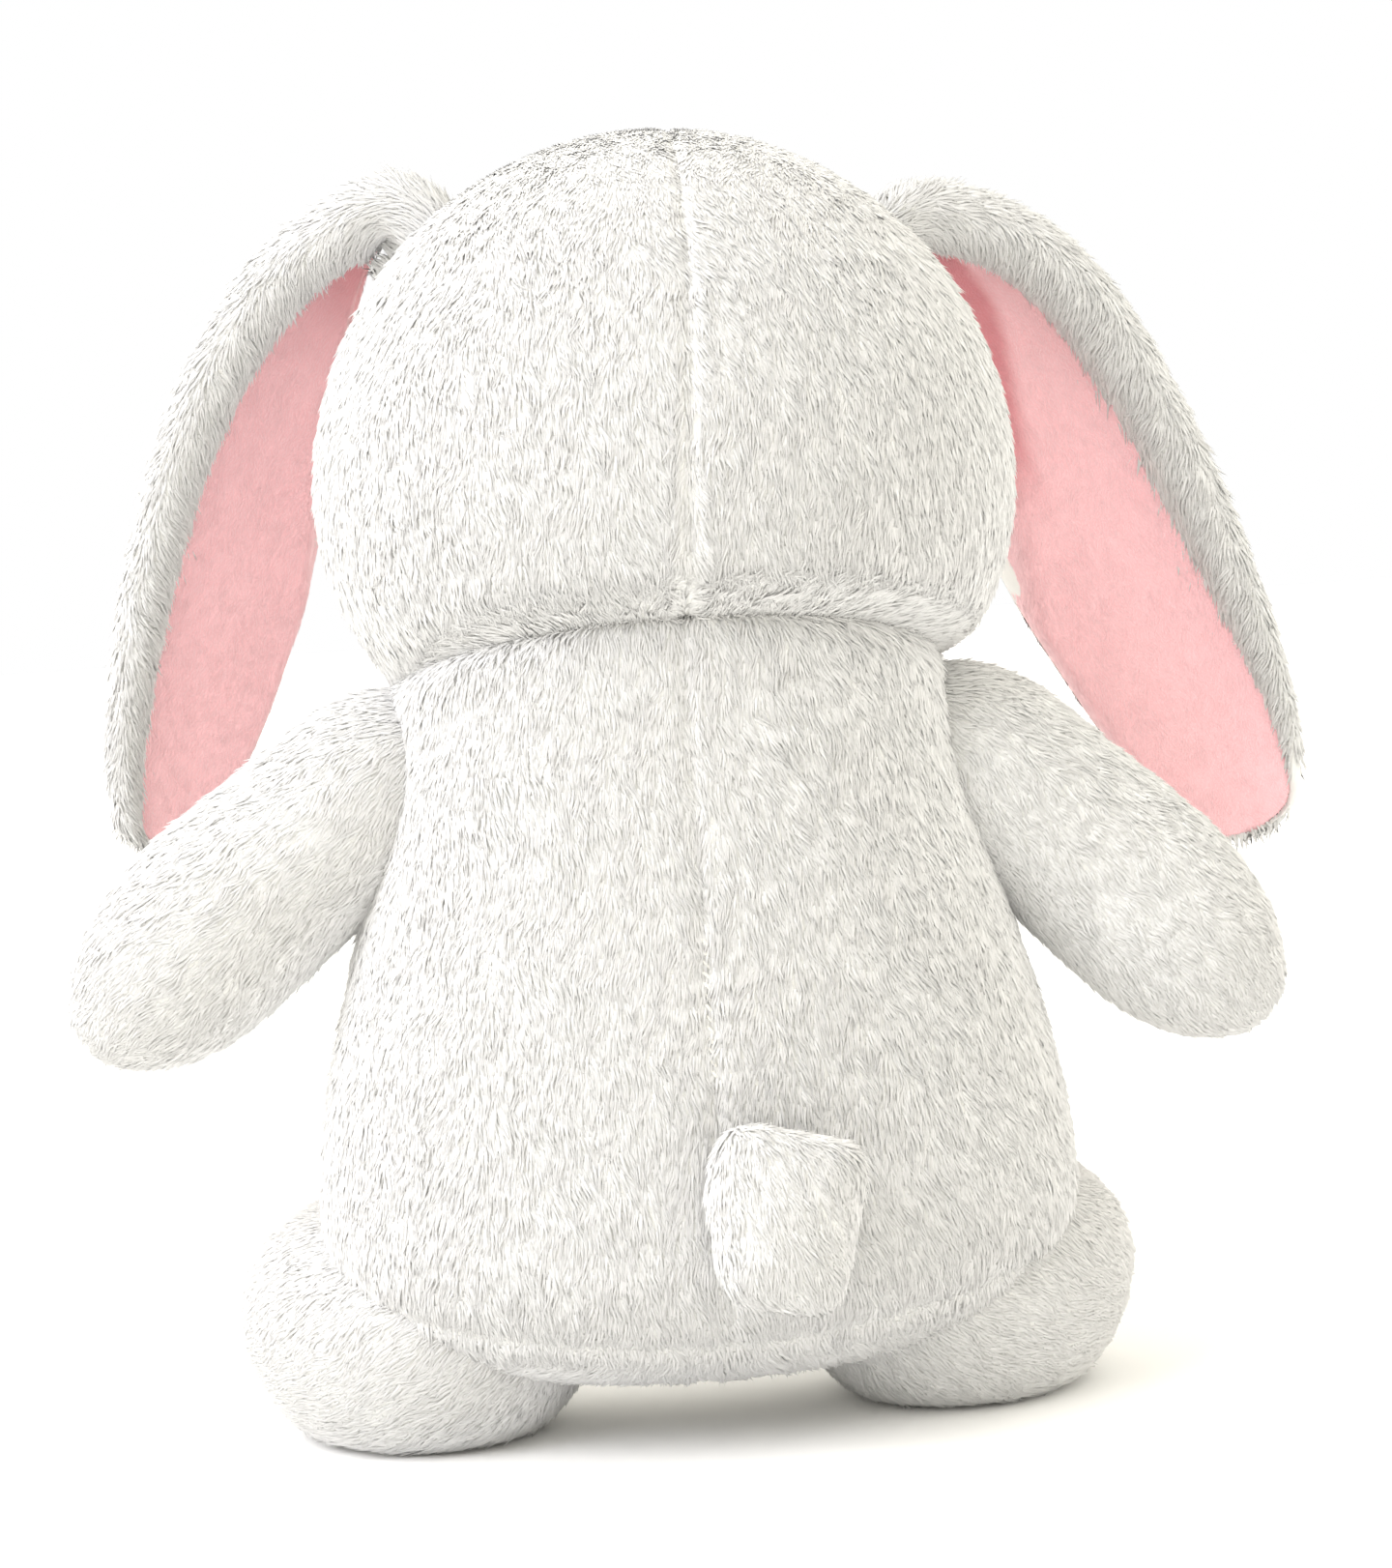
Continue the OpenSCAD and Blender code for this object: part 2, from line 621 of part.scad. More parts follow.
module at_foot(side) {
    mirrored(side) translate(side > 0 ? left_foot : right_foot) rotate([0, 0, toe_out]) children();
}

module foot_upper(side) {
    color(WHITE) at_foot(side) difference() {
        loft([for (z = foot_levels) foot_ring(z, 0, z)], [0, 0, 0], [0, 0, foot_h]);
        loft([for (z = foot_levels) foot_ring(z, fur, z == 0 ? -1 : z)], [0, 0, -1], [0, 0, foot_h - fur]);
    }
}
module foot_sole(side) {
    color(WHITE) at_foot(side)
        loft([foot_ring(0, fur + gap, 0), foot_ring(fur, fur + gap, fur)], [0, 0, 0], [0, 0, fur]);
}
module foot_stuffing(side) {
    inset = fur + gap;
    color(FIBRE) at_foot(side)
        loft([for (z = [for (l = foot_levels) if (l > fur) l]) foot_ring(z, inset, z)],
            [0, 0, fur + gap + 3], [0, 0, foot_h - inset]);
}

// Room for a foot to flex under the torso.
foot_flex = 5.4;
module foot_space(side) {
    at_foot(side)
        loft([for (z = [for (l = foot_levels) if (l > 3) l]) foot_ring(z, -foot_flex, z + (z - foot_mid_z) * 0.1)],
            [0, 0, -12], [0, 0, foot_h + foot_flex]);
}

module foot_left_upper() { in_frame() foot_upper(1); }
module foot_left_sole() { in_frame() foot_sole(1); }
module foot_left_stuffing() { in_frame() foot_stuffing(1); }
module foot_right_upper() { in_frame() foot_upper(-1); }
module foot_right_sole() { in_frame() foot_sole(-1); }
module foot_right_stuffing() { in_frame() foot_stuffing(-1); }

// ---- tail ----

// A stubby pouch set in the back seam that lies towards the toy's right.
tail_reach = 34;
tail_lie = 4;              // the pouch follows the round of the back
tail_half_h = 21;
tail_thick = 14;
tail_steps = [0.03, 0.12, 0.26, 0.45, 0.65, 0.82, 0.93, 0.985];
function tail_rows(inset) = [for (s = tail_steps)
    let (end = s < 0.2 ? 0.62 + 1.9 * s : pow(1 - pow((s - 0.2) / 0.8, 6), 0.4),
        h = tail_half_h * end - inset, w = mix(6.2, tail_thick, eased(s / 0.4)) * (s > 0.5 ? end : 1) - inset)
    [for (t = full_turn(16)) let (c = cos(t), n = sin(t))
        [sign(c) * h * pow(abs(c), 0.75), w * n + (w + inset - 6.2), s * (tail_reach - 2 * inset) + inset]]];
module at_tail() {
    translate([tail_hinge[0], tail_hinge[1], tail_z]) rotate([0, 0, tail_lie]) rotate([0, -90, 0]) children();
}
module tail_plush() {
    in_frame() color(WHITE) at_tail() difference() {
        loft(tail_rows(0), [0, 0, 0], [0, 5, tail_reach]);
        loft(tail_rows(fur * 0.8), [0, 0, fur], [0, 5, tail_reach - fur]);
    }
}
module tail_stuffing() {
    inset = fur * 0.8 + gap;
    in_frame() color(FIBRE) at_tail() loft(tail_rows(inset), [0, 0, fur + 0.6], [0, 5, tail_reach - fur - 0.6]);
}

head_back_left();
head_back_right();
face_panel();
head_stuffing();
head_seam_thread();
muzzle();
nose();
mouth_thread();
eye_left();
eye_right();
eye_washer_left();
eye_washer_right();
ear_left_plush();
ear_left_lining();
ear_right_plush();
ear_right_lining();
neck_wad();
back_left();
back_right();
belly();
base_panel();
torso_stuffing();
pellet_bag();
back_seam_thread();
closing_stitches();
arm_left_front();
arm_left_back();
arm_left_stuffing();
arm_right_front();
arm_right_back();
arm_right_stuffing();
foot_left_upper();
foot_left_sole();
foot_left_stuffing();
foot_right_upper();
foot_right_sole();
foot_right_stuffing();
tail_plush();
tail_stuffing();
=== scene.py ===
import math

import bpy
import numpy as np
from mathutils import Matrix, Vector
from mathutils.bvhtree import BVHTree


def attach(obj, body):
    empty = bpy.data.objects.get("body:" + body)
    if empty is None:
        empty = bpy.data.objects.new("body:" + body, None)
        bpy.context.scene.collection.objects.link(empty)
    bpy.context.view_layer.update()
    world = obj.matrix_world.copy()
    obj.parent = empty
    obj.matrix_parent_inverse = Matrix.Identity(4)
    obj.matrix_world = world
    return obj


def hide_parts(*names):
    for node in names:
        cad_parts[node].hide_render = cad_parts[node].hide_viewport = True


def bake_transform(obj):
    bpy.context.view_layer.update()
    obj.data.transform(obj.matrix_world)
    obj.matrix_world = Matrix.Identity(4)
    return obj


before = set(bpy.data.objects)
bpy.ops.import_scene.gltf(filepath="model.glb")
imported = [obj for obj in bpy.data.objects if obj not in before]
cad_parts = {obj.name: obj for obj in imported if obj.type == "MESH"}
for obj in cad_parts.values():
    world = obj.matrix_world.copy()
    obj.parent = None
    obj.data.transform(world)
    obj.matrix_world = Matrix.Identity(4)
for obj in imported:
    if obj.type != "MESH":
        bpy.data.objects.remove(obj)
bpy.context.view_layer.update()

MM = 0.001
scene = bpy.context.scene

# ---- shared numbers of the toy, measured from the floor under the middle of its neck ----

TO_MIDDLE = np.array([8.0, -3.0, 0.0])  # from there to the frame's origin
NECK = np.array([0.0, 0.0, 170.0])
LEAN = math.radians(4)                  # the head leans to its own right
SLOPE = math.radians(14)                # the neck seam is higher at the back
NECK_NORMAL = np.array([0.0, -math.sin(SLOPE), math.cos(SLOPE)])
PILE = 1.3                              # the pile's roots lie this far under its outside
HEAD_W, HEAD_D, HEAD_MID, CROWN, CHIN = 81.0, 70.0, 42.0, 83.0, 71.0
TORSO_W, TORSO_D, TORSO_WIDE, TORSO_LOW = 88.0, 60.0, 52.0, 10.0
NECK_W, NECK_D = 64.0, 56.0
PLUMP = 2.4
BASE_SEAM, BASE_RISE = 26.0, 12.0


def mix(a, b, t):
    return a + (b - a) * t


def eased(t):
    t = np.clip(t, 0, 1)
    return t * t * (3 - 2 * t)


def unit(v):
    return v / (np.linalg.norm(v) + 1e-12)


def from_head(p):
    """A point in the head's own frame, put where the leaning head has it."""
    x, y, z = p
    return NECK + np.array([x * math.cos(LEAN) - z * math.sin(LEAN), y, z * math.cos(LEAN) + x * math.sin(LEAN)])


def in_frame(p):
    return tuple((p + TO_MIDDLE) * MM)


def turn(count):
    return [2 * math.pi * i / count for i in range(count)]


# ---- meshes ----

def new_object(name, verts, faces):
    mesh = bpy.data.meshes.new(name)
    mesh.from_pydata([tuple(np.asarray(v) * MM) for v in verts], [], faces)
    mesh.update()
    obj = bpy.data.objects.new(name, mesh)
    scene.collection.objects.link(obj)
    mesh.polygons.foreach_set("use_smooth", [True] * len(mesh.polygons))
    return obj


def loft(name, rows, low, high):
    """A closed body through rings of points, with a point at each end."""
    m, n = len(rows[0]), len(rows)
    verts = [p for row in rows for p in row] + [low, high]
    faces = [(r * m + c, r * m + (c + 1) % m, (r + 1) * m + (c + 1) % m, (r + 1) * m + c)
             for r in range(n - 1) for c in range(m)]
    faces += [(n * m, (c + 1) % m, c) for c in range(m)]
    faces += [((n - 1) * m + c, (n - 1) * m + (c + 1) % m, n * m + 1) for c in range(m)]
    return facing_out(new_object(name, verts, faces))


def facing_out(obj):
    """Turns the faces of a closed body outwards."""
    mesh = obj.data
    volume = 0.0
    for p in mesh.polygons:
        a = mesh.vertices[p.vertices[0]].co
        for i in range(1, len(p.vertices) - 1):
            volume += a.dot(mesh.vertices[p.vertices[i]].co.cross(mesh.vertices[p.vertices[i + 1]].co))
    if volume < 0:
        mesh.flip_normals()
    return obj


def points_of(obj):
    co = np.empty(len(obj.data.vertices) * 3, np.float32)
    obj.data.vertices.foreach_get("co", co)
    return co.reshape(-1, 3).astype(float) / MM


def normals_of(obj):
    no = np.empty(len(obj.data.vertices) * 3, np.float32)
    obj.data.vertex_normals.foreach_get("vector", no)
    return no.reshape(-1, 3).astype(float)


def set_points(obj, co):
    obj.data.vertices.foreach_set("co", (co * MM).astype(np.float32).ravel())
    obj.data.update()


def applied(obj):
    """The object with its modifiers made into plain mesh."""
    graph = bpy.context.evaluated_depsgraph_get()
    mesh = bpy.data.meshes.new_from_object(obj.evaluated_get(graph))
    obj.modifiers.clear()
    obj.data = mesh
    return obj


def smoothed(obj, levels=1):
    mod = obj.modifiers.new("smooth", "SUBSURF")
    mod.levels = mod.render_levels = levels
    return applied(obj)


def stuffed(obj, seam, swell=1.8, frames=14, pressure=5.0):
    """Fills a sewn skin: its seams hold still while the cloth between them swells under pressure."""
    start = points_of(obj)
    group = obj.vertex_groups.new(name="seams")
    for i, p in enumerate(start):
        group.add([i], float(np.clip(seam(p), 0, 1)), "REPLACE")
    cloth = obj.modifiers.new("filling", "CLOTH")
    s = cloth.settings
    s.quality = 6
    s.mass = 0.25
    s.tension_stiffness = s.compression_stiffness = 6
    s.shear_stiffness = 4
    s.bending_stiffness = 0.4
    s.use_pressure = True
    s.uniform_pressure_force = pressure
    s.vertex_group_mass = "seams"
    s.pin_stiffness = 1.0
    s.effector_weights.gravity = 0
    cloth.collision_settings.use_collision = False
    cloth.point_cache.frame_start, cloth.point_cache.frame_end = 1, frames
    for f in range(1, frames + 1):
        scene.frame_set(f)
    applied(obj)
    scene.frame_set(1)
    moved = points_of(obj) - start
    reach = np.linalg.norm(moved, axis=1)
    scale = np.minimum(1, swell / np.maximum(reach, 1e-9))
    set_points(obj, start + moved * scale[:, None])
    obj.vertex_groups.clear()
    return obj


def store(obj, name, values):
    values = np.asarray(values, np.float32)
    kind = "FLOAT_VECTOR" if values.ndim == 2 else "FLOAT"
    layer = obj.data.attributes.get(name) or obj.data.attributes.new(name, kind, "POINT")
    layer.data.foreach_set("vector" if values.ndim == 2 else "value", values.ravel())


def depth_inside(obj, others):
    """How far each point of obj lies inside the nearest of the other closed skins, in millimetres."""
    co = points_of(obj) * MM
    deep = np.full(len(co), -1e3)
    for other in others:
        tree = BVHTree.FromPolygons([v.co for v in other.data.vertices],
                                    [tuple(p.vertices) for p in other.data.polygons])
        for i, p in enumerate(co):
            place, normal, index, distance = tree.find_nearest(Vector(p), 0.05)
            if place is not None:
                deep[i] = max(deep[i], distance / MM * (1 if (Vector(p) - place).dot(normal) < 0 else -1))
    return deep


# ---- node trees ----

class Tree:
    """A short way to write a node tree."""

    def __init__(self, tree):
        self.tree = tree

    def node(self, kind, settings=None, **inputs):
        n = self.tree.nodes.new(kind)
        for key, value in (settings or {}).items():
            setattr(n, key, value)
        for key, value in inputs.items():
            numbered = key[0] == "i" and key[1:].isdigit()
            self.feed(n.inputs[int(key[1:]) if numbered else key.replace("_", " ")], value)
        return n

    def feed(self, socket, value):
        if isinstance(value, bpy.types.NodeSocket):
            self.tree.links.new(value, socket)
        else:
            socket.default_value = value

    def math(self, operation, a, b=0.0, c=0.0):
        return self.node("ShaderNodeMath", {"operation": operation}, i0=a, i1=b, i2=c).outputs[0]

    def vector(self, operation, a, b=(0, 0, 0)):
        n = self.node("ShaderNodeVectorMath", {"operation": operation}, i0=a)
        if operation == "SCALE":
            self.feed(n.inputs["Scale"], b)
        else:
            self.feed(n.inputs[1], b)
        return n.outputs["Value" if operation in ("DOT_PRODUCT", "LENGTH") else "Vector"]


def geometry_tree(name, takes, gives, sizes):
    """A tree with one geometry input, the named inputs after it, and one geometry output."""
    tree = bpy.data.node_groups.new(name, "GeometryNodeTree")
    face = tree.interface
    face.new_socket(takes, in_out="INPUT", socket_type="NodeSocketGeometry")
    for label, kind, value in sizes:
        socket = face.new_socket(label, in_out="INPUT", socket_type="NodeSocket" + kind)
        if value is not None:
            socket.default_value = value
    face.new_socket(gives, in_out="OUTPUT", socket_type="NodeSocketGeometry")
    return tree


def pile_tree():
    """Tufts of pile over a skin: tapering spikes that lie along the nap."""
    tree = geometry_tree("pile", "Skin", "Pile", (
        ("Tufts per m2", "Float", 1.8e6), ("Length", "Float", 0.0045), ("Width", "Float", 0.0006),
        ("Lift", "Float", 0.4), ("Swirl", "Float", 0.9), ("Crispness", "Float", 0.3), ("Seed", "Int", 1),
        ("Cloth", "Material", None)))
    t = Tree(tree)
    given = t.node("NodeGroupInput").outputs
    seed = given["Seed"]

    def drawn(low, high, shift):
        n = t.node("FunctionNodeRandomValue", {"data_type": "FLOAT"}, i2=low, i3=high)
        t.feed(n.inputs["Seed"], t.math("ADD", seed, shift))
        return n.outputs[1]

    def named(name, kind):
        return t.node("GeometryNodeInputNamedAttribute", {"data_type": kind}, Name=name).outputs["Attribute"]

    # one tuft: a closed three-sided spike that lies along Y with its flat side down
    spike = t.node("GeometryNodeMeshCone", {"fill_type": "NGON"}, Vertices=3, Side_Segments=1, Fill_Segments=1,
                   Radius_Top=0.0, Radius_Bottom=1.0, Depth=1.0).outputs["Mesh"]
    place = t.node("ShaderNodeSeparateXYZ", Vector=t.node("GeometryNodeInputPosition").outputs[0]).outputs
    along = place[2]
    laid_down = t.node("ShaderNodeCombineXYZ", X=t.math("MULTIPLY", place[1], 0.577), Y=along,
                       Z=t.math("MULTIPLY_ADD", place[0], 0.09, 0.03)).outputs[0]
    marked = t.node("GeometryNodeStoreNamedAttribute", {"data_type": "FLOAT", "domain": "POINT"},
                    Geometry=spike, Name="along", Value=along).outputs[0]
    blade = t.node("GeometryNodeSetPosition", Geometry=marked, Position=laid_down).outputs[0]
    blade = t.node("GeometryNodeSetShadeSmooth", Geometry=blade).outputs[0]

    spread = t.node("GeometryNodeDistributePointsOnFaces", {"distribute_method": "POISSON"},
                    Mesh=given["Skin"], Seed=seed)
    apart = t.math("DIVIDE", 0.8, t.math("SQRT", given["Tufts per m2"]))
    t.feed(spread.inputs["Distance Min"], apart)
    t.feed(spread.inputs["Density Max"], t.math("MULTIPLY", given["Tufts per m2"], 2.6))
    t.feed(spread.inputs["Density Factor"], named("cover", "FLOAT"))
    points = t.node("GeometryNodeStoreNamedAttribute", {"data_type": "FLOAT_VECTOR", "domain": "POINT"},
                    Geometry=spread.outputs["Points"], Name="face", Value=spread.outputs["Normal"]).outputs[0]
    normal = named("face", "FLOAT_VECTOR")
    here = t.node("GeometryNodeInputPosition").outputs[0]

    def clump(scale, shift):
        moved = t.vector("ADD", here, (shift, shift, shift))
        n = t.node("ShaderNodeTexNoise", {"noise_dimensions": "3D"}, Vector=moved, Scale=scale, Detail=2.0)
        return t.math("SUBTRACT", n.outputs[0], 0.5)

    nap = named("nap", "FLOAT_VECTOR")
    nap = t.vector("SUBTRACT", nap, t.vector("SCALE", normal, t.vector("DOT_PRODUCT", nap, normal)))
    nap = t.vector("NORMALIZE", nap)
    sway = t.math("MULTIPLY", given["Swirl"], t.math("ADD", clump(45.0, 0.0),
                  t.math("MULTIPLY", clump(260.0, 3.0), 1.5)))
    sway = t.math("ADD", t.math("MULTIPLY", sway, 1.9), drawn(-0.16, 0.16, 11))
    swept = t.node("ShaderNodeVectorRotate", {"rotation_type": "AXIS_ANGLE"},
                   Vector=nap, Axis=normal, Angle=sway).outputs[0]
    ruffled = t.math("MAXIMUM", t.math("MULTIPLY_ADD", clump(16.0, 5.0), 3.2, 0.8), 0.15)
    raised = t.math("ADD", t.math("MULTIPLY", clump(300.0, 7.0), ruffled), given["Lift"])
    raised = t.math("MAXIMUM", t.math("ADD", raised, drawn(-0.07, 0.09, 12)), 0.03)
    way = t.vector("ADD", t.vector("SCALE", swept, t.math("COSINE", raised)),
                   t.vector("SCALE", normal, t.math("SINE", raised)))
    laid = t.node("FunctionNodeAlignRotationToVector", {"axis": "Y"}, Vector=way).outputs[0]
    laid = t.node("FunctionNodeAlignRotationToVector", {"axis": "Z", "pivot_axis": "Y"},
                  Rotation=laid, Vector=normal).outputs[0]
    roll = t.node("FunctionNodeAxisAngleToRotation", Axis=(0, 1, 0), Angle=drawn(-0.35, 0.35, 13)).outputs[0]
    laid = t.node("FunctionNodeRotateRotation", {"rotation_space": "LOCAL"}, i0=laid, i1=roll).outputs[0]
    reach = t.math("MULTIPLY", t.math("MULTIPLY", given["Length"], named("long", "FLOAT")), drawn(0.75, 1.2, 14))
    width = t.math("MULTIPLY", given["Width"], drawn(0.75, 1.25, 15))
    size = t.node("ShaderNodeCombineXYZ", X=width, Y=reach, Z=reach).outputs[0]
    tufts = t.node("GeometryNodeInstanceOnPoints", Points=points, Instance=blade, Rotation=laid,
                   Scale=size).outputs[0]
    tufts = t.node("GeometryNodeStoreNamedAttribute", {"data_type": "FLOAT", "domain": "INSTANCE"},
                   Geometry=tufts, Name="tone", Value=drawn(0.0, 1.0, 16)).outputs[0]
    tufts = t.node("GeometryNodeRealizeInstances", Geometry=tufts).outputs[0]
    own = t.node("GeometryNodeInputNormal").outputs[0]
    soft = t.vector("NORMALIZE", t.vector("ADD", t.vector("SCALE", named("face", "FLOAT_VECTOR"), 1.0),
                                          t.vector("SCALE", own, given["Crispness"])))
    n = t.node("GeometryNodeSetMeshNormal", {"mode": "FREE", "domain": "POINT"}, Mesh=tufts)
    t.feed(n.inputs["Custom Normal"], soft)
    tufts = n.outputs[0]
    tufts = t.node("GeometryNodeSetMaterial", Geometry=tufts, Material=given["Cloth"]).outputs[0]
    out = t.node("NodeGroupOutput")
    tree.links.new(tufts, out.inputs[0])
    return tree


PILE_TREE = pile_tree()


def set_inputs(mod, values):
    for item in mod.node_group.interface.items_tree:
        if item.in_out == "INPUT" and item.name in values:
            mod[item.identifier] = values[item.name]


def grow_pile(name, skin, cover, cloth, seed, per_mm2=1.5, length=4.4, width=0.8, lift=8, swirl=0.8, crisp=0.5):
    """A piece of pile on the part of a skin where cover is above 0."""
    base = bpy.data.objects.new(name, skin.data.copy())
    scene.collection.objects.link(base)
    store(base, "cover", np.clip(cover, 0, 1))
    if not base.data.attributes.get("long"):
        store(base, "long", np.ones(len(base.data.vertices)))
    mod = base.modifiers.new("pile", "NODES")
    mod.node_group = PILE_TREE
    set_inputs(mod, {"Tufts per m2": per_mm2 * 1e6, "Length": length * MM, "Width": width * MM,
                     "Lift": math.radians(lift), "Swirl": swirl, "Crispness": crisp, "Seed": seed, "Cloth": cloth})
    applied(base)
    for extra in ("face", "nap", "cover", "long", "outside"):
        layer = base.data.attributes.get(extra)
        if layer:
            base.data.attributes.remove(layer)
    return base


# ---- materials ----

def material(name, base, roughness, **constant):
    m = bpy.data.materials.new(name)
    m.use_nodes = True
    shader = m.node_tree.nodes["Principled BSDF"]
    shader.inputs["Base Color"].default_value = (*base, 1)
    shader.inputs["Roughness"].default_value = roughness
    for key, value in constant.items():
        shader.inputs[key.replace("_", " ")].default_value = value
    return m, Tree(m.node_tree), shader


def colour_between(t, factor, a, b):
    n = t.node("ShaderNodeMix", {"data_type": "RGBA"}, i0=factor)
    n.inputs[6].default_value = (*a, 1)
    n.inputs[7].default_value = (*b, 1)
    return n.outputs[2]


def object_noise(t, scale, detail=2.0):
    coords = t.node("ShaderNodeTexCoord").outputs["Object"]
    return t.node("ShaderNodeTexNoise", Vector=coords, Scale=scale, Detail=detail).outputs[0]


def bump(t, shader, height, strength, distance):
    n = t.node("ShaderNodeBump", Strength=strength, Distance=distance, Height=height)
    t.feed(shader.inputs["Normal"], n.outputs[0])


def with_painted_fold_shade(t, colour):
    """Painted shade: deeper and redder where the attribute deep marks the shaded part of the ear's fold."""
    deep = t.node("ShaderNodeAttribute", {"attribute_name": "deep"}).outputs["Fac"]
    n = t.node("ShaderNodeMix", {"data_type": "RGBA", "blend_type": "MULTIPLY"}, i0=deep)
    t.feed(n.inputs[6], colour)
    # colour of the painted shade at the full depth of the fold
    n.inputs[7].default_value = (0.72, 0.46, 0.48, 1)
    return n.outputs[2]


def pile_material(name, root, tip, dull, sheen, glow):
    m, t, shader = material(name, tip, 0.75, Sheen_Weight=sheen, Sheen_Roughness=0.5, Subsurface_Weight=glow,
                            Subsurface_Scale=0.003)
    shader.inputs["Subsurface Radius"].default_value = (1.0, 1.0, 1.0)
    along = t.node("ShaderNodeAttribute", {"attribute_name": "along"}).outputs["Fac"]
    tone = t.node("ShaderNodeAttribute", {"attribute_name": "tone"}).outputs["Fac"]
    fibre = colour_between(t, along, root, tip)
    patch = t.math("MULTIPLY", t.math("SUBTRACT", object_noise(t, 30.0), 0.35), 0.9)
    fade = t.math("ADD", t.math("MULTIPLY", tone, 0.45), t.math("MAXIMUM", patch, 0.0))
    n = t.node("ShaderNodeMix", {"data_type": "RGBA", "blend_type": "MULTIPLY"}, i0=fade)
    t.feed(n.inputs[6], fibre)
    n.inputs[7].default_value = (*dull, 1)
    # painted fold shade, where the skin carries the attribute deep
    t.feed(shader.inputs["Base Color"], with_painted_fold_shade(t, n.outputs[2]))
    return m


def cloth_material(name, colour, second, grain, depth, sheen, roughness=0.85):
    m, t, shader = material(name, colour, roughness, Sheen_Weight=sheen, Sheen_Roughness=0.5)
    patches = colour_between(t, object_noise(t, grain * 0.12), colour, second)
    # painted fold shade, where the skin carries the attribute deep
    t.feed(shader.inputs["Base Color"], with_painted_fold_shade(t, patches))
    bump(t, shader, object_noise(t, grain, 3.0), 0.6, depth)
    return m


WHITE_PILE = pile_material("white_pile", (0.95, 0.95, 0.945), (0.985, 0.985, 0.98), (0.975, 0.97, 0.965), 0.1, 0.35)
WHITE_CLOTH = cloth_material("white_backing", (0.84, 0.84, 0.82), (0.79, 0.79, 0.77), 900.0, 0.0002, 0.1)
PINK_PILE = pile_material("pink_velour_nap", (1.0, 0.60, 0.645), (1.0, 0.69, 0.73), (1.0, 0.97, 0.97), 0.3, 0.0)
PINK_CLOTH = cloth_material("pink_velour", (0.99, 0.60, 0.64), (0.97, 0.54, 0.58), 1500.0, 0.0003, 0.3)
THREAD = cloth_material("white_thread", (0.80, 0.79, 0.75), (0.72, 0.71, 0.67), 2500.0, 0.0001, 0.1, 0.6)
MOUTH_THREAD = cloth_material("rose_thread", (0.55, 0.22, 0.25), (0.48, 0.18, 0.21), 2500.0, 0.0001, 0.1, 0.5)
NOSE_THREAD = cloth_material("pink_satin_thread", (0.85, 0.36, 0.40), (0.78, 0.30, 0.35), 2500.0, 0.0001, 0.2, 0.4)


def dressed(obj, *materials):
    obj.data.materials.clear()
    for m in materials:
        obj.data.materials.append(m)
    return obj


# ---- torso ----

AROUND, RINGS = 64, 26                  # points round a skin, and rings up its side
NECK_TUCK = 0.9                         # depth of the crease at the neck seam
SHOULDER_TOP = 175.0                    # where the torso has narrowed to the neck
INSIDE_NECK = (5, 16, 30, 48)           # rings that close a skin across the neck, by how far they lie inside it


def neck_ring(t, shrink):
    """A point of the neck seam, on the sloping plane of the neck."""
    x, y = (NECK_W - shrink) * math.cos(t), (NECK_D - shrink) * math.sin(t)
    return NECK + np.array([x, y, y * math.tan(SLOPE)])


def bottom_point(t, a, inset):
    across, down = math.sin(a) ** (2 / PLUMP), max(math.cos(a), 0) ** (2 / PLUMP)
    return np.array([(TORSO_W - inset) * across * math.cos(t), (TORSO_D - inset) * across * math.sin(t),
                     TORSO_WIDE - (TORSO_WIDE - TORSO_LOW - inset) * down])


def torso_skin():
    inset = PILE + 1.5
    rows = []
    for a in np.radians(range(10, 81, 10)):
        rows.append([bottom_point(t, a, inset) for t in turn(AROUND)])
    roll = 5.0                          # how far below the neck seam the cloth turns in
    for i in range(RINGS + 1):
        row = []
        for t in turn(AROUND):
            top = neck_ring(t, 0)[2]
            z = mix(TORSO_WIDE, top, i / RINGS)
            k = eased((z - TORSO_WIDE) / (SHOULDER_TOP - TORSO_WIDE))
            full = 1 + 0.05 * k * math.sin(2 * t) ** 2      # the shoulders are a little squarer than an oval
            p = np.array([(mix(TORSO_W, NECK_W, k) - inset) * math.cos(t) * full,
                          (mix(TORSO_D, NECK_D, k) - inset) * math.sin(t) * full, z])
            left = top - z
            if left < roll:
                g = math.sqrt(max(0, 1 - (1 - left / roll) ** 2))
                ring = neck_ring(t, inset + NECK_TUCK)
                p[:2] = mix(ring[:2], p[:2], g)
            row.append(p)
        rows.append(row)
    for shrink in INSIDE_NECK:
        rows.append([neck_ring(t, inset + shrink) + NECK_NORMAL * (1 if shrink == 5 else 3) for t in turn(AROUND)])
    return loft("torso_skin", rows, np.array([0, 0, TORSO_LOW + inset]), NECK + NECK_NORMAL * 4)


def base_seam_z(p):
    t = math.atan2(p[1] / TORSO_D, p[0] / TORSO_W)
    return BASE_SEAM + BASE_RISE * math.cos(t) ** 2


def near(value, width):
    """1 on a line and 0 beyond width of it."""
    return max(0.0, 1 - abs(value) / width)


def torso_seam(p):
    plane = (p - NECK) @ NECK_NORMAL
    held = 1.0 if plane > -3 else 0.0
    held = max(held, near(p[2] - base_seam_z(p), 4))
    if p[2] > 20:
        if p[1] > 0:
            held = max(held, near(p[0], 3.5))
        held = max(held, near(p[1], 4) * (0.8 if abs(p[0]) > 30 else 0))
    return min(1.0, held * 1.3)


# ---- head ----

def head_point(t, a, inset):
    tall = CROWN if a > 0 else CHIN
    return from_head(((HEAD_W - inset) * math.cos(a) * math.cos(t), (HEAD_D - inset) * math.cos(a) * math.sin(t),
                      HEAD_MID + (tall - inset) * math.sin(a)))


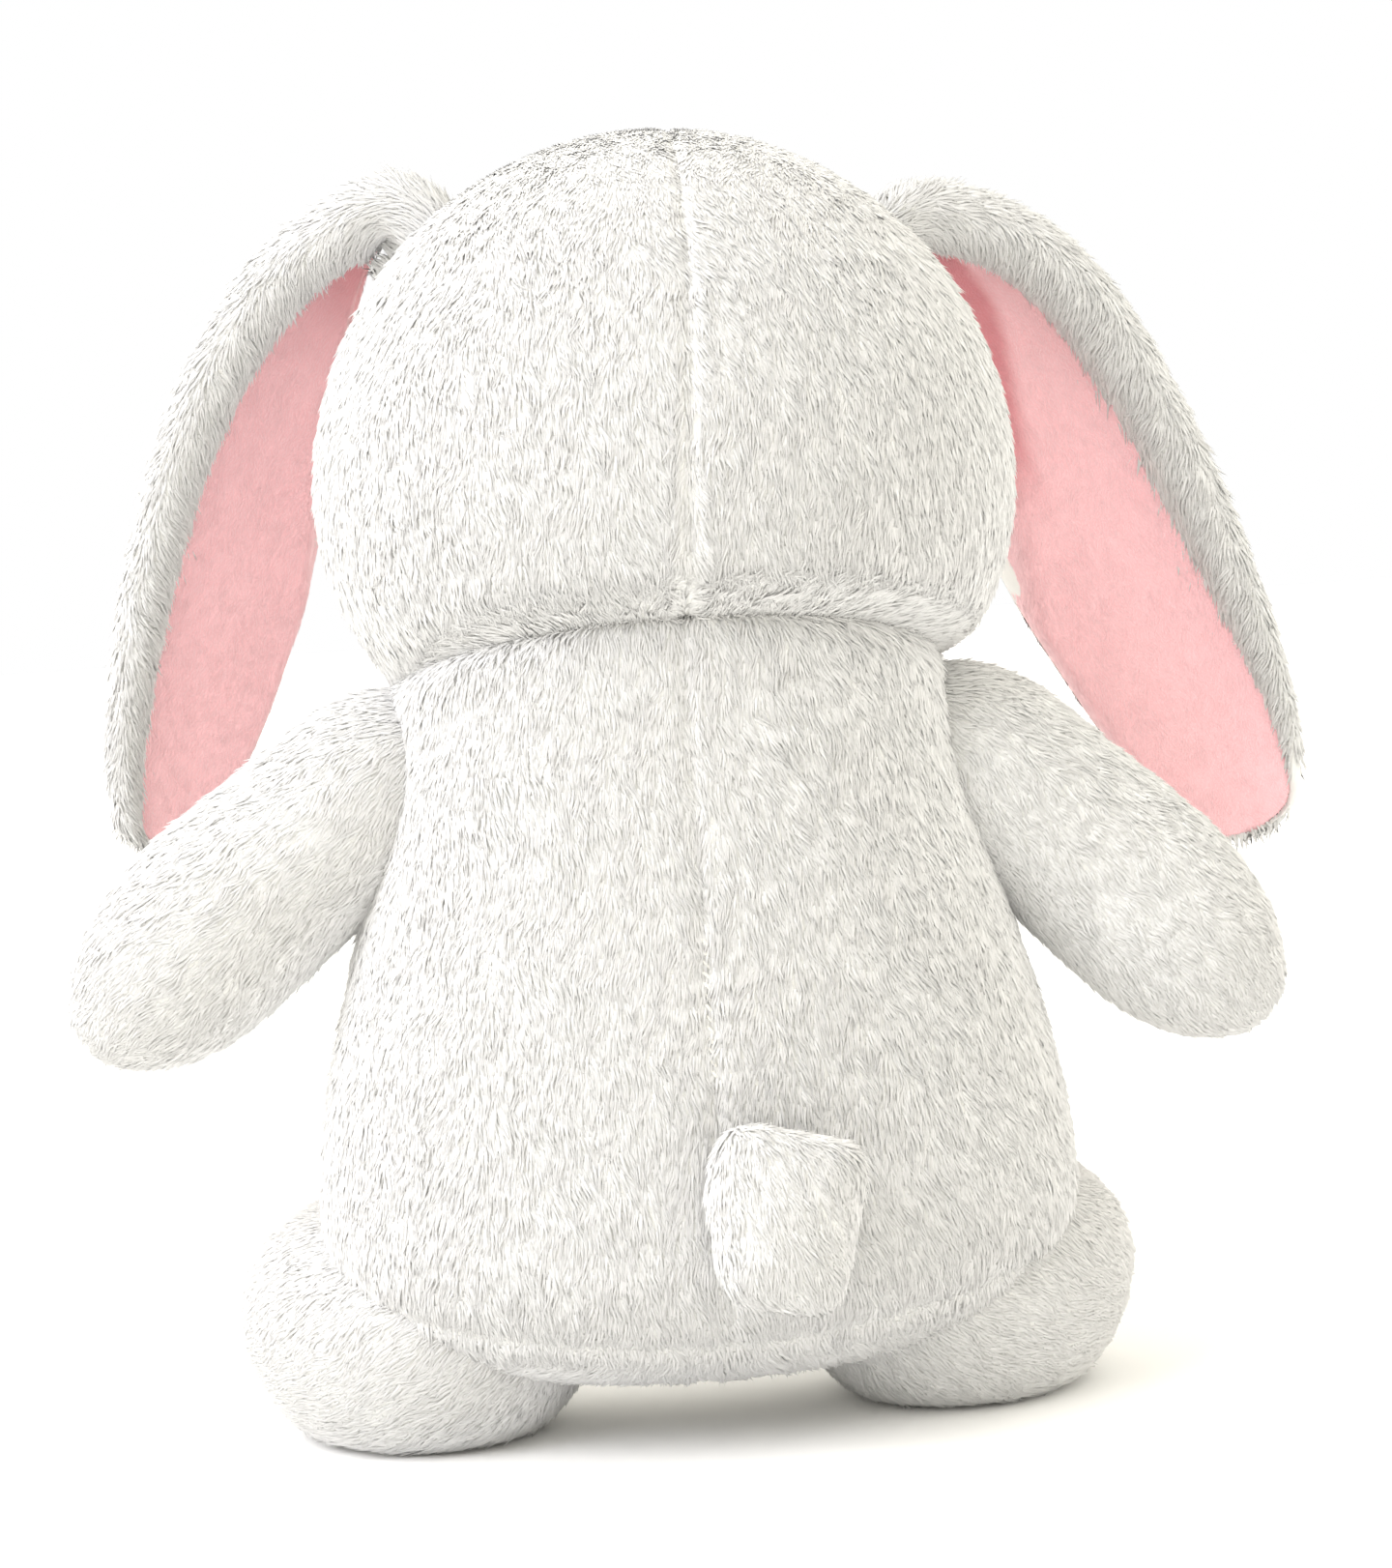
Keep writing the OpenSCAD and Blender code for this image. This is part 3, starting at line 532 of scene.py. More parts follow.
def head_skin():
    inset = PILE + 1.5
    roll = 6.0                          # how far above the neck seam the cloth turns in
    rows = [[] for _ in range(RINGS)]
    for t in turn(AROUND):
        low, high = math.radians(-75), math.radians(30)
        for _ in range(40):
            mid = (low + high) / 2
            low, high = (mid, high) if (head_point(t, mid, inset) - NECK) @ NECK_NORMAL < 0 else (low, mid)
        for r in range(RINGS):
            p = head_point(t, mix(low, math.radians(87), r / (RINGS - 1)), inset)
            above = (p - NECK) @ NECK_NORMAL
            if above < roll:
                g = math.sqrt(max(0, 1 - (1 - max(above, 0) / roll) ** 2))
                ring = neck_ring(t, inset + NECK_TUCK) + NECK_NORMAL * above
                p = mix(ring, p, g)
            rows[r].append(p)
    under = [[neck_ring(t, inset + shrink) - NECK_NORMAL * (1 if shrink == 5 else 3) for t in turn(AROUND)]
             for shrink in INSIDE_NECK[::-1]]
    return loft("head_skin", under + rows, NECK - NECK_NORMAL * 4, from_head((0, 0, HEAD_MID + CROWN - inset)))


def in_head(p):
    """A point as the upright head would have it."""
    x, y, z = p - NECK
    return np.array([x * math.cos(LEAN) + z * math.sin(LEAN), y, z * math.cos(LEAN) - x * math.sin(LEAN)])


def head_seam(p):
    q = in_head(p)
    held = 1.0 if (p - NECK) @ NECK_NORMAL < 3 else 0.0
    if q[1] > -4:
        held = max(held, near(q[0], 3.5))
    held = max(held, 0.8 * near(q[1], 4))
    return min(1.0, held * 1.3)


# ---- arms ----

SHOULDERS = {1: np.array([68.0, 0, 149]), -1: np.array([-71.0, 0, 145])}
DROPS = {1: math.radians(36), -1: math.radians(43)}
# place along an arm, half height and half depth there: broad where it is sewn into the side
ARM_PROFILE = [(-24, 12, 13), (-16, 19, 21), (-6, 23.4, 25.8), (4, 24.3, 26.2), (14, 24.2, 25.0),
               (24, 24.4, 23.8), (34, 25.0, 23.4), (44, 25.3, 23.5), (53, 24.9, 23.2), (61, 23.6, 22),
               (68, 21.2, 19.8), (74, 17.8, 16.6), (79, 13.6, 12.7), (83, 7.6, 7.1)]
REACH = {1: 1.01, -1: 1.04}             # length of each arm over the profile's


def arm_frame(side):
    """Directions along an arm, and up across it."""
    drop = DROPS[side]
    along = np.array([side * math.cos(drop), 0, -math.sin(drop)])
    return along, np.array([side * math.sin(drop), 0, math.cos(drop)])


def arm_skin(side, name):
    along, up = arm_frame(side)
    inset = PILE + 1.2
    rows = []

    def middle(s):
        return SHOULDERS[side] + along * s * REACH[side] - up * 2.5 * eased((s - 30) / 50)

    for s, tall, deep in ARM_PROFILE:
        less = inset if tall > 8 else inset * 0.6
        rows.append([middle(s) + up * (tall - less) * math.cos(t) + np.array([0, (deep - less) * math.sin(t), 0])
                     for t in turn(32)])
    return loft(name, rows, middle(-26), middle(85.2 - inset))


def arm_seam(side):
    def held(p):
        along, up = arm_frame(side)
        d = p - SHOULDERS[side]
        s = d @ along
        return min(1.0, max(1.0 if s < 4 else 0.0, 0.9 * near(d[1], 4)) * 1.2)
    return held


# ---- feet ----

FEET = {1: np.array([65.0, -24, 0]), -1: np.array([-61.0, -24, 0])}
FOOT_W, FOOT_L, FOOT_H, FOOT_MID, SOLE_CUT, TOE_OUT = 42.0, 54.0, 58.0, 29.0, 38.0, math.radians(12)


def foot_skin(side, name):
    inset = PILE
    rows = []
    for z in (0.4, 2.5, 7, 12, 18, 24, 29, 34, 40, 45, 50, 53.5):
        u = (z - FOOT_MID) / (SOLE_CUT if z < FOOT_MID else FOOT_H - FOOT_MID)
        wide = math.sqrt(1 - u * u)
        row = []
        for t in turn(40):
            x = (FOOT_W * wide - inset) * math.cos(t)
            y = (FOOT_L * wide - inset) * math.sin(t)
            lift = 2.0 if z == 0.4 else 0.0
            x, y = x - lift * math.cos(t), y - lift * math.sin(t)
            row.append(FEET[side] + np.array([side * (x * math.cos(TOE_OUT) - y * math.sin(TOE_OUT)),
                                              x * math.sin(TOE_OUT) + y * math.cos(TOE_OUT), z]))
        rows.append(row)
    return loft(name, rows, FEET[side] + np.array([0, 0, 0.4]), FEET[side] + np.array([0, 0, FOOT_H - inset]))


def foot_seam(p):
    return 1.0 if p[2] < 3 else 0.0


# ---- tail ----

TAIL_AT = np.array([-10.5, 71.0, 56.0])


def tail_skin():
    rows = []
    tip = math.radians(14)               # the pouch hangs a little towards the toy's right
    for a in np.radians([-80, -64, -46, -25, -5, 15, 35, 52, 66, 79]):
        row = []
        for t in turn(40):
            c, s = math.cos(t), math.sin(t)
            square = 0.42 if s > 0 or c < 0 else 0.8
            lean = (0.82 if c > 0 else 0.98) if s < 0 else 1.0
            x = 16.6 * math.copysign(abs(c) ** square, c) * math.cos(a) ** 0.6 * lean
            z = 18.8 * math.copysign(abs(s) ** square, s) * math.cos(a) ** 0.6
            thick = 8.5 * math.sin(a) * (1 - 0.25 * (x / 17) ** 2)
            row.append(TAIL_AT + np.array([x * math.cos(tip) - z * math.sin(tip), thick - 0.0055 * x * x,
                                           x * math.sin(tip) + z * math.cos(tip)]))
        rows.append(row)
    return loft("tail_skin", rows, TAIL_AT + np.array([0, -8.6, 0]), TAIL_AT + np.array([0, 8.6, 0]))


# ---- ears ----

# line: the ear's middle, in the upright head's frame; turn: degrees that its hollow side faces outwards;
# ridge and fall: place and depth of its fold; the rest is given at the places of EAR_STEPS along the ear
EARS = {
    1: {"line": [[57, -16, 98], [72, -18, 119], [99, -64, 52], [117, -52, -46]],
        "turn": 26, "ridge": 0.68, "fall": 0.6,
        "wide_in": [13, 12, 11, 12, 17, 22, 27, 31, 31, 27, 21, 12],
        "wide_out": [15, 14, 12.5, 15, 19, 22.5, 24.5, 25, 24, 21.5, 18, 12.5],
        "hollow": [1, 3, 6, 9, 11, 11, 10, 9, 8, 5.5, 3, 1],
        "roll": [8, 8.5, 9, 9.2, 9, 8.6, 8, 7.4, 6.8, 6, 5, 3.8]},
    -1: {"line": [[55, -16, 97], [66, -18, 118], [106, -66, 58], [151, -54, -44]],
         "turn": 14, "ridge": 0.5, "fall": 1.6,
         "wide_in": [13, 12, 11, 13, 20, 27, 32, 33.5, 32.5, 28, 22, 14],
         "wide_out": [14, 14, 15, 19, 24, 27.5, 29, 29, 28, 25.5, 21.5, 15],
         "hollow": [1, 2, 4, 6, 8, 9, 9.5, 9, 8, 5.5, 3, 1],
         "roll": [8, 8.5, 9, 9.2, 9, 8.4, 7.8, 7.2, 6.4, 5, 3.2, 1.9]},
}
EAR_STEPS = [0.06, 0.12, 0.19, 0.27, 0.36, 0.46, 0.56, 0.66, 0.76, 0.85, 0.92, 0.97]
EAR_FINE = np.concatenate([np.linspace(-0.1, 0.9, 30), [0.93, 0.955, 0.975]])
ROOT_END, BARE_TIP = 0.16, 0.94         # furred all round above the first; the right ear is bald below the other


def bezier(line, t):
    p, s = np.array(line, float), 1 - t
    return p[0] * s ** 3 + 3 * p[1] * s * s * t + 3 * p[2] * s * t * t + p[3] * t ** 3


def bezier_way(line, t):
    p, s = np.array(line, float), 1 - t
    return unit((p[1] - p[0]) * s * s + 2 * (p[2] - p[1]) * s * t + (p[3] - p[2]) * t * t)


def on_side(side, p):
    """A point or direction of the left ear's pattern, on the ear of this side."""
    return from_head(p * np.array([side, 1, 1]))


def ear_section(side, t):
    """Middle, directions and sizes of an ear's section, in the head's frame."""
    ear = EARS[side]
    way = bezier_way(ear["line"], t)
    out = np.array([-way[2], 0, way[0]])
    out = unit(out - way * (out @ way))
    back = np.cross(out, way)
    back *= np.sign(back[1])
    a = math.radians(ear["turn"])
    across, up = out * math.cos(a) + back * math.sin(a), back * math.cos(a) - out * math.sin(a)
    sizes = [np.interp(t, EAR_STEPS, ear[v]) for v in ("wide_in", "wide_out", "hollow", "roll")]
    return bezier(ear["line"], t), across, up, way, sizes


def place_on_ear(side, t, points):
    middle, across, up, way, sizes = ear_section(side, t)
    return [on_side(side, middle + across * p + up * q) for p, q in points]


def hollow(side, t, p, wide_in, wide_out, deep):
    """Height of the ear's hollow side: up to the outer edge, and over a soft ridge down towards the head."""
    if p > 0:
        return -deep * (1 - (p / wide_out) ** 2)
    ridge = mix(EARS[side]["ridge"], 0.95, eased((t - 0.6) / 0.2))
    u, rise, fall = -p / wide_in, 0.25, EARS[side]["fall"]
    if u < ridge:
        return -deep * (1 - rise * (u / ridge) ** 2)
    return -deep * mix(1 - rise, 1 + fall, eased((u - ridge) / (0.6 * (1 - ridge))))


def ear_sizes(sizes):
    wide_in, wide_out, deep, roll = sizes
    return wide_in - 1.0, wide_out - PILE, deep, max(roll - PILE * 0.8, 1.6)


def ear_outline(side, t, sizes):
    """Round the outside, round the rolled edge, and back over the hollow side."""
    wide_in, wide_out, deep, roll = ear_sizes(sizes)
    points = [(p, hollow(side, t, p, wide_in, wide_out, deep) - 2.6 * (0.6 + 0.4 * min(1, i / 2)))
              for i, p in enumerate(np.linspace(-wide_in, wide_out - roll, 9))]
    points += [(wide_out - roll + roll * math.cos(a), roll * math.sin(a))
               for a in np.radians([-60, -28, 4, 36, 68, 100, 132, 160])]
    points += [(p, hollow(side, t, p, wide_in, wide_out, deep))
               for p in np.linspace(wide_out - 2.15 * roll, -wide_in, 10)]
    return points


def ear_skin(side, name):
    rows, naps = [], []
    for t in EAR_FINE:
        middle, across, up, way, sizes = ear_section(side, t)
        outline = ear_outline(side, t, sizes)
        rows.append(place_on_ear(side, t, outline))
        for i in range(len(outline)):
            inward = 0.8 if 13 <= i <= 18 else (0.2 if i >= 9 else (-0.1 if i > 2 else -0.5))
            naps.append(on_side(side, way - across * inward) - NECK)
    start = on_side(side, bezier(EARS[side]["line"], -0.14))
    end = on_side(side, bezier(EARS[side]["line"], 0.985))
    obj = loft(name, rows, start, end)
    store(obj, "nap", np.array(naps + [naps[0], naps[-1]]))
    edge = np.zeros(len(rows) * len(outline) + 2)
    for r in range(len(rows)):
        for i in range(len(outline)):
            bare = i == 0 or i >= 18 or (side < 0 and EAR_FINE[r] > BARE_TIP)
            edge[r * len(outline) + i] = 0.0 if bare and EAR_FINE[r] > ROOT_END else 1.0
    edge[-1] = 1
    store(obj, "outside", edge)
    return obj


def fold_shade(side, t, inward):
    """How much painted shade darkens the lining in the ear's fold, at this part of its inner half width and of its
    length.
    """
    if side < 0:
        crease = -0.08 + 0.35 * eased((t - 0.38) / 0.25)
        return eased((inward - crease) / 0.14) * (1 - eased((t - 0.56) / 0.12))
    # the left ear's painted shade lies in the top wedge by the head
    return 0.8 * eased((inward + 0.3) / 0.8) * (1 - eased((t - 0.3) / 0.22))


def ear_lining(side, name):
    rows, naps, fold_painted_shade = [], [], []
    steps = np.concatenate([np.linspace(0.2 if side < 0 else 0.23, 0.9, 30), [0.93, 0.955, 0.972]])
    for t in steps:
        middle, across, up, way, sizes = ear_section(side, t)
        wide_in, wide_out, deep, roll = ear_sizes(sizes)
        near_edge, far_edge = -0.985 * wide_in, wide_out - 1.85 * roll
        line = np.linspace(near_edge, far_edge, 18)
        low = [(p, hollow(side, t, p, wide_in, wide_out, deep) - 0.6) for p in line]
        high = []
        for p in line[::-1]:
            u = (p - near_edge) / (far_edge - near_edge)
            swell = math.sin(math.pi * u)
            puff = 1.0 + 0.9 * swell ** 0.6 + 0.8 * math.sin(9 * t + 0.09 * p) * swell * math.sin(0.11 * p + 5 * t)
            high.append((p, hollow(side, t, p, wide_in, wide_out, deep) + puff))
        rows.append(place_on_ear(side, t, low + high))
        naps += [on_side(side, way) - NECK] * (len(low) + len(high))
        fold_painted_shade += [fold_shade(side, t, -p / wide_in) for p, height in low + high]
    ends = []
    for t in (steps[0] - 0.03, 0.982):
        middle, across, up, way, sizes = ear_section(side, t)
        ends.append(place_on_ear(side, t, [(0, -sizes[2] + 0.6)])[0])
    obj = loft(name, rows, ends[0], ends[1])
    store(obj, "nap", np.array(naps + [naps[0], naps[-1]]))
    # the painted fold shade goes onto the lining as the attribute deep, which the materials multiply in
    store(obj, "deep", np.array(fold_painted_shade + [fold_painted_shade[0], fold_painted_shade[-1]]))
    return obj


# ---- the skins ----

torso = smoothed(stuffed(torso_skin(), torso_seam), 2)
head = smoothed(stuffed(head_skin(), head_seam), 2)
arms, feet, ears, linings = {}, {}, {}, {}
for side, word in ((1, "left"), (-1, "right")):
    arms[side] = smoothed(stuffed(arm_skin(side, f"arm_{word}_skin"), arm_seam(side), swell=2.2))
    feet[side] = smoothed(stuffed(foot_skin(side, f"foot_{word}_skin"), foot_seam, swell=1.2))
    ears[side] = smoothed(ear_skin(side, f"ear_{word}_skin"))
    linings[side] = smoothed(ear_lining(side, f"ear_{word}_velour"))
tail = smoothed(tail_skin())


def seam_valley(obj, distance, depth, width):
    """Draws the cloth in along a sewn line."""
    co = points_of(obj)
    fall = depth * np.exp(-(np.array([distance(p) for p in co]) / width) ** 2)
    set_points(obj, co - normals_of(obj) * fall[:, None])


CLOSING_LOW, CLOSING_HIGH = 86.0, 114.0  # ends of the hand-sewn closing


def back_seam(p):
    return p[0] if p[1] > 0 and p[2] > 26 else 99.0


def head_back_seam(p):
    q = in_head(p)
    return q[0] if q[1] > -5 and q[2] > -20 else 99.0


def base_seam(p):
    return p[2] - base_seam_z(p)


seam_valley(torso, back_seam, 0.8, 1.4)
seam_valley(head, head_back_seam, 1.0, 1.4)
seam_valley(torso, base_seam, 1.2, 1.8)


def shorter_at(obj, seams, width=1.6, least=0.8):
    """Pile caught in a seam stands shorter beside it."""
    long = np.ones(len(obj.data.vertices))
    for i, p in enumerate(points_of(obj)):
        for seam in seams:
            long[i] = min(long[i], mix(least, 1, float(eased(abs(seam(p)) / width))))
    store(obj, "long", long * (1 - 0.5 * np.array([float(eased((in_head(p)[2] - 85) / 38)) for p in points_of(obj)])))


shorter_at(torso, (back_seam, base_seam))
shorter_at(head, (head_back_seam,))


def puckered(obj):
    """Small gathers along the hand-sewn closing."""
    co = points_of(obj)
    along = (co[:, 2] - CLOSING_LOW) / (CLOSING_HIGH - CLOSING_LOW)
    there = np.clip(np.sin(np.clip(along, 0, 1) * math.pi), 0, 1) * np.exp(-(co[:, 0] / 6) ** 2) * (co[:, 1] > 0)
    wave = np.sin(co[:, 2] * 1.15 + np.sign(co[:, 0]) * 0.9)
    set_points(obj, co + normals_of(obj) * (there * (0.25 * wave - 0.5))[:, None])


puckered(torso)

# ---- nap: which way the pile lies ----

co = points_of(head)
over_crown = eased((co[:, 2] - 240) / 50)
flow = np.stack([(co[:, 0] - NECK[0]) * 0.012, co[:, 1] * 0.018 + 0.9 * over_crown, np.full(len(co), -1.0)], 1)
store(head, "nap", flow)
co = points_of(torso)
flow = np.stack([co[:, 0] * 0.003 - 0.10, np.zeros(len(co)), np.full(len(co), -1.0)], 1)
under = co[:, 2] < 24
flow[under] = np.stack([co[under, 0] * 0.02, -np.ones(under.sum()), np.zeros(under.sum())], 1)
store(torso, "nap", flow)
for side in (1, -1):
    along, up = arm_frame(side)
    co = points_of(arms[side])
    store(arms[side], "nap", np.tile(along, (len(co), 1)) - up * 0.12)
    co = points_of(feet[side])
    away = co - (FEET[side] + np.array([-side * 30, 26, 60]))
    away[:, 2] *= 0.6
    store(feet[side], "nap", away / 60)
co = points_of(tail)
store(tail, "nap", np.tile([-0.25, 0.0, -1.0], (len(co), 1)))


def shown(obj, others, margin=6.0):
    """1 where a skin can be seen, and 0 where it lies deep inside another."""
    deep = depth_inside(obj, others)
    return np.clip((margin - deep) / 2.0, 0, 1)


head_shown = shown(head, [torso, ears[1], ears[-1]])
torso_shown = shown(torso, [head, arms[1], arms[-1], feet[1], feet[-1]])


def region(obj, test):
    return np.array([1.0 if test(p) else 0.0 for p in points_of(obj)])


# ---- face ----

MUZZLE_AT, MUZZLE_SIZE = np.array([0.0, -65, 25]), np.array([21.8, 13.8, 14.8])


def muzzle_skin():
    rows = []
    for a in np.radians(np.arange(-75, 76, 15)):
        row = [(math.cos(a) * math.cos(t) * (1 + 0.06 * math.cos(2 * t)), math.cos(a) * math.sin(t), math.sin(a))
               for t in turn(32)]
        rows.append([from_head(MUZZLE_AT + MUZZLE_SIZE * np.array(p)) for p in row])
    return loft("muzzle_skin", rows, from_head(MUZZLE_AT - MUZZLE_SIZE * np.array([0, 0, 1])),
                from_head(MUZZLE_AT + MUZZLE_SIZE * np.array([0, 0, 1])))


muzzle = smoothed(muzzle_skin())
co = points_of(muzzle)
store(muzzle, "nap", np.stack([co[:, 0] * 0.05, -0.2 * np.ones(len(co)), -0.6 * np.ones(len(co))], 1))


def nose_pad():
    """A small stuffed pad, broad above and narrow below."""
    rows = []
    at = MUZZLE_AT + np.array([0, -MUZZLE_SIZE[1] * 0.94, MUZZLE_SIZE[2] * 0.52])
    for a in np.radians([-70, -45, -20, 5, 30, 55, 75]):
        row = []
        for t in turn(32):
            c, s = math.cos(t), math.sin(t)
            x = 6.6 * math.copysign(abs(c) ** 0.8, c) * (1 + 0.28 * s) * math.cos(a) ** 0.7
            z = 4.4 * math.copysign(abs(s) ** 0.9, s) * math.cos(a) ** 0.7
            row.append(from_head(at + np.array([x, -3.2 * math.sin(a) + 0.02 * x * x, z])))
        rows.append(row)
    return loft("nose_pad", rows, from_head(at + np.array([0, 3.2, 0])), from_head(at + np.array([0, -3.3, 0])))


nose = smoothed(nose_pad())


def on_muzzle(x, z, proud):
    size = MUZZLE_SIZE + proud
    u, w = x / size[0], z / size[2]
    return from_head(MUZZLE_AT + np.array([x, -size[1] * math.sqrt(max(0, 1 - u * u - w * w)), z]))


def stitch_tree():
    """Stitches along a line: short rounded lengths of thread laid end to end."""
    tree = geometry_tree("stitches", "Line", "Stitches", (
        ("Stitch length", "Float", 0.003), ("Thickness", "Float", 0.0007), ("Slant", "Float", 0.0),
        ("Thread", "Material", None)))
    t = Tree(tree)
    given = t.node("NodeGroupInput").outputs
    curve = t.node("GeometryNodeMeshToCurve", Mesh=given["Line"]).outputs[0]
    n = t.node("GeometryNodeResampleCurve", {"mode": "LENGTH"}, Curve=curve)
    t.feed(n.inputs["Length"], given["Stitch length"])
    points = n.outputs[0]
    bead = t.node("GeometryNodeMeshUVSphere", Segments=8, Rings=6, Radius=0.5).outputs[0]
    bead = t.node("GeometryNodeSetShadeSmooth", Geometry=bead).outputs[0]
    tangent = t.node("GeometryNodeInputTangent").outputs[0]
    laid = t.node("FunctionNodeAlignRotationToVector", {"axis": "Z"}, Vector=tangent).outputs[0]
    tilt = t.node("FunctionNodeAxisAngleToRotation", Axis=(0, 1, 0), Angle=given["Slant"]).outputs[0]
    laid = t.node("FunctionNodeRotateRotation", {"rotation_space": "GLOBAL"}, i0=laid, i1=tilt).outputs[0]
    long = t.math("MULTIPLY", given["Stitch length"], 1.05)
    size = t.node("ShaderNodeCombineXYZ", X=given["Thickness"], Y=given["Thickness"], Z=long).outputs[0]
    made = t.node("GeometryNodeInstanceOnPoints", Points=points, Instance=bead, Rotation=laid, Scale=size).outputs[0]
    made = t.node("GeometryNodeRealizeInstances", Geometry=made).outputs[0]
    made = t.node("GeometryNodeSetMaterial", Geometry=made, Material=given["Thread"]).outputs[0]
    out = t.node("NodeGroupOutput")
    tree.links.new(made, out.inputs[0])
    return tree


STITCH_TREE = stitch_tree()


def stitched(name, lines, length, thickness, thread, slant=0.0):
    verts, edges = [], []
    for line in lines:
        start = len(verts)
        verts += [tuple(np.asarray(p) * MM) for p in line]
        edges += [(start + i, start + i + 1) for i in range(len(line) - 1)]
    mesh = bpy.data.meshes.new(name)
    mesh.from_pydata(verts, edges, [])
    obj = bpy.data.objects.new(name, mesh)
    scene.collection.objects.link(obj)
    mod = obj.modifiers.new("stitches", "NODES")
    mod.node_group = STITCH_TREE
    set_inputs(mod, {"Stitch length": length * MM, "Thickness": thickness * MM, "Slant": slant, "Thread": thread})
    return applied(obj)


mouth_lines = [[on_muzzle(0, z, 1.6) for z in np.linspace(3.2, -5.0, 8)]]
for side in (1, -1):
    mouth_lines.append([on_muzzle(side * 8.5 * u, -5.0 - 2.6 * math.sin(u * 2.6), 1.6) for u in np.linspace(0, 1, 9)])
mouth = stitched("mouth_stitches", mouth_lines, 1.3, 1.0, MOUTH_THREAD)

# ---- materials of the skins ----

for obj in (torso, head, tail, muzzle, *arms.values(), *feet.values(), *ears.values()):
    dressed(obj, WHITE_CLOTH)
for obj in linings.values():
    dressed(obj, PINK_CLOTH)
dressed(nose, NOSE_THREAD)

# ---- pile ----

EYE_OUT, EYE_UP, EYE_CLEAR = 30, 50, 7.0   # each eye's place from the face's middle, and the bare ring round it
EYE_FRONT = -HEAD_D * math.sqrt(1 - (EYE_OUT / HEAD_W) ** 2 - ((EYE_UP - HEAD_MID) / CROWN) ** 2)
EYES = [from_head((s * EYE_OUT, EYE_FRONT, EYE_UP)) for s in (1, -1)]


def clear_of_eyes(obj):
    co = points_of(obj)
    keep = np.ones(len(co))
    for e in EYES:
        keep *= np.clip((np.linalg.norm(co - e, axis=1) - EYE_CLEAR) / 2.5, 0, 1)
    return keep


muzzle_clear = 1 - 0.999 * np.clip((3.0 + depth_inside(head, [muzzle])) / 2, 0, 1)
piles = []


def pile_on(name, skin, cover, cloth, seed, joint=None, body=None, **style):
    obj = grow_pile(name, skin, cover, cloth, seed, **style)
    piles.append((obj, joint, body))
    return obj


def settled(obj, joint=None, body=None):
    """Moves a finished piece to the frame's origin, and bakes it in place if it has a joint or hangs it on its body
    otherwise.
    """
    obj.data.transform(Matrix.Translation(Vector(TO_MIDDLE) * MM))
    if joint:
        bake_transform(obj)
    else:
        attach(obj, body)


torso_joint = ("torso", "neck", in_frame(NECK - NECK_NORMAL * 24), in_frame(NECK - NECK_NORMAL * 2))
head_joint = ("neck", "head", in_frame(NECK + NECK_NORMAL * 2), in_frame(NECK + NECK_NORMAL * 22))
limbs = []

left_back = region(head, lambda p: in_head(p)[1] >= 0 and in_head(p)[0] >= 0)
right_back = region(head, lambda p: in_head(p)[1] >= 0 and in_head(p)[0] < 0)
pile_on("head_back_left_pile", head, head_shown * left_back, WHITE_PILE, 1, head_joint)
pile_on("head_back_right_pile", head, head_shown * right_back, WHITE_PILE, 2, head_joint)
pile_on("face_pile", head, head_shown * (1 - left_back - right_back) * clear_of_eyes(head) * muzzle_clear,
        WHITE_PILE, 3, head_joint, length=3.6)
left_back = region(torso, lambda p: p[1] >= 0 and p[0] >= 0)
right_back = region(torso, lambda p: p[1] >= 0 and p[0] < 0)
pile_on("back_left_pile", torso, torso_shown * left_back, WHITE_PILE, 4, torso_joint)
pile_on("back_right_pile", torso, torso_shown * right_back, WHITE_PILE, 5, torso_joint)
pile_on("belly_pile", torso, torso_shown * (1 - left_back - right_back), WHITE_PILE, 6, torso_joint)
for side, word in ((1, "left"), (-1, "right")):
    along, up = arm_frame(side)
    shoulder = SHOULDERS[side]
    arm_joint = ("torso", f"arm_{word}", in_frame(shoulder - along * 8), in_frame(shoulder + along * 22))
    root = on_side(side, np.array(EARS[side]["line"][0]))
    ear_joint = ("head", f"ear_{word}", in_frame(root), in_frame(root + np.array([side * 16, 0, 0])))
    pile_on(f"arm_{word}_pile", arms[side], shown(arms[side], [torso]), WHITE_PILE, 10 + side, arm_joint, length=3.7)
    soles = np.clip((points_of(feet[side])[:, 2] - 0.8) / 1.5, 0, 1)
    pile_on(f"foot_{word}_pile", feet[side], shown(feet[side], [torso]) * soles, WHITE_PILE, 20 + side,
            body=f"foot_{word}", length=3.5)
    outside = np.empty(len(ears[side].data.vertices), np.float32)
    ears[side].data.attributes["outside"].data.foreach_get("value", outside)
    pile_on(f"ear_{word}_pile", ears[side], outside * shown(ears[side], [head]), WHITE_PILE, 30 + side, ear_joint,
            lift=13, length=4.6)
    everywhere = np.ones(len(linings[side].data.vertices))
    pile_on(f"ear_{word}_nap", linings[side], everywhere, PINK_PILE, 40 + side, ear_joint,
            per_mm2=2.2, length=1.2, width=0.42, lift=6, crisp=0.3)
    limbs += [(arms[side], arm_joint, None), (ears[side], ear_joint, None), (linings[side], ear_joint, None),
              (feet[side], None, f"foot_{word}")]
pile_on("tail_pile", tail, shown(tail, [torso], 3.0), WHITE_PILE, 50, body="tail", length=3.4)
pile_on("muzzle_pile", muzzle, shown(muzzle, [head, nose], 1.5), WHITE_PILE, 51, body="head", per_mm2=2.2, length=2.4,
        width=0.45, lift=20)

# ---- stitches that show ----


def on_surface(obj, x, z, proud):
    tree = BVHTree.FromPolygons([v.co for v in obj.data.vertices], [tuple(p.vertices) for p in obj.data.polygons])
    hit = tree.ray_cast(Vector((x * MM, 0.2, z * MM)), Vector((0, -1, 0)))[0]
    return np.array([x, hit.y / MM + proud, z])


closing_line = [on_surface(torso, 0.0, z, 0.4) for z in np.linspace(CLOSING_LOW, CLOSING_HIGH, 15)]
closing_stitches = stitched("closing_stitch_row", [closing_line], 2.3, 0.9, THREAD, slant=0.7)

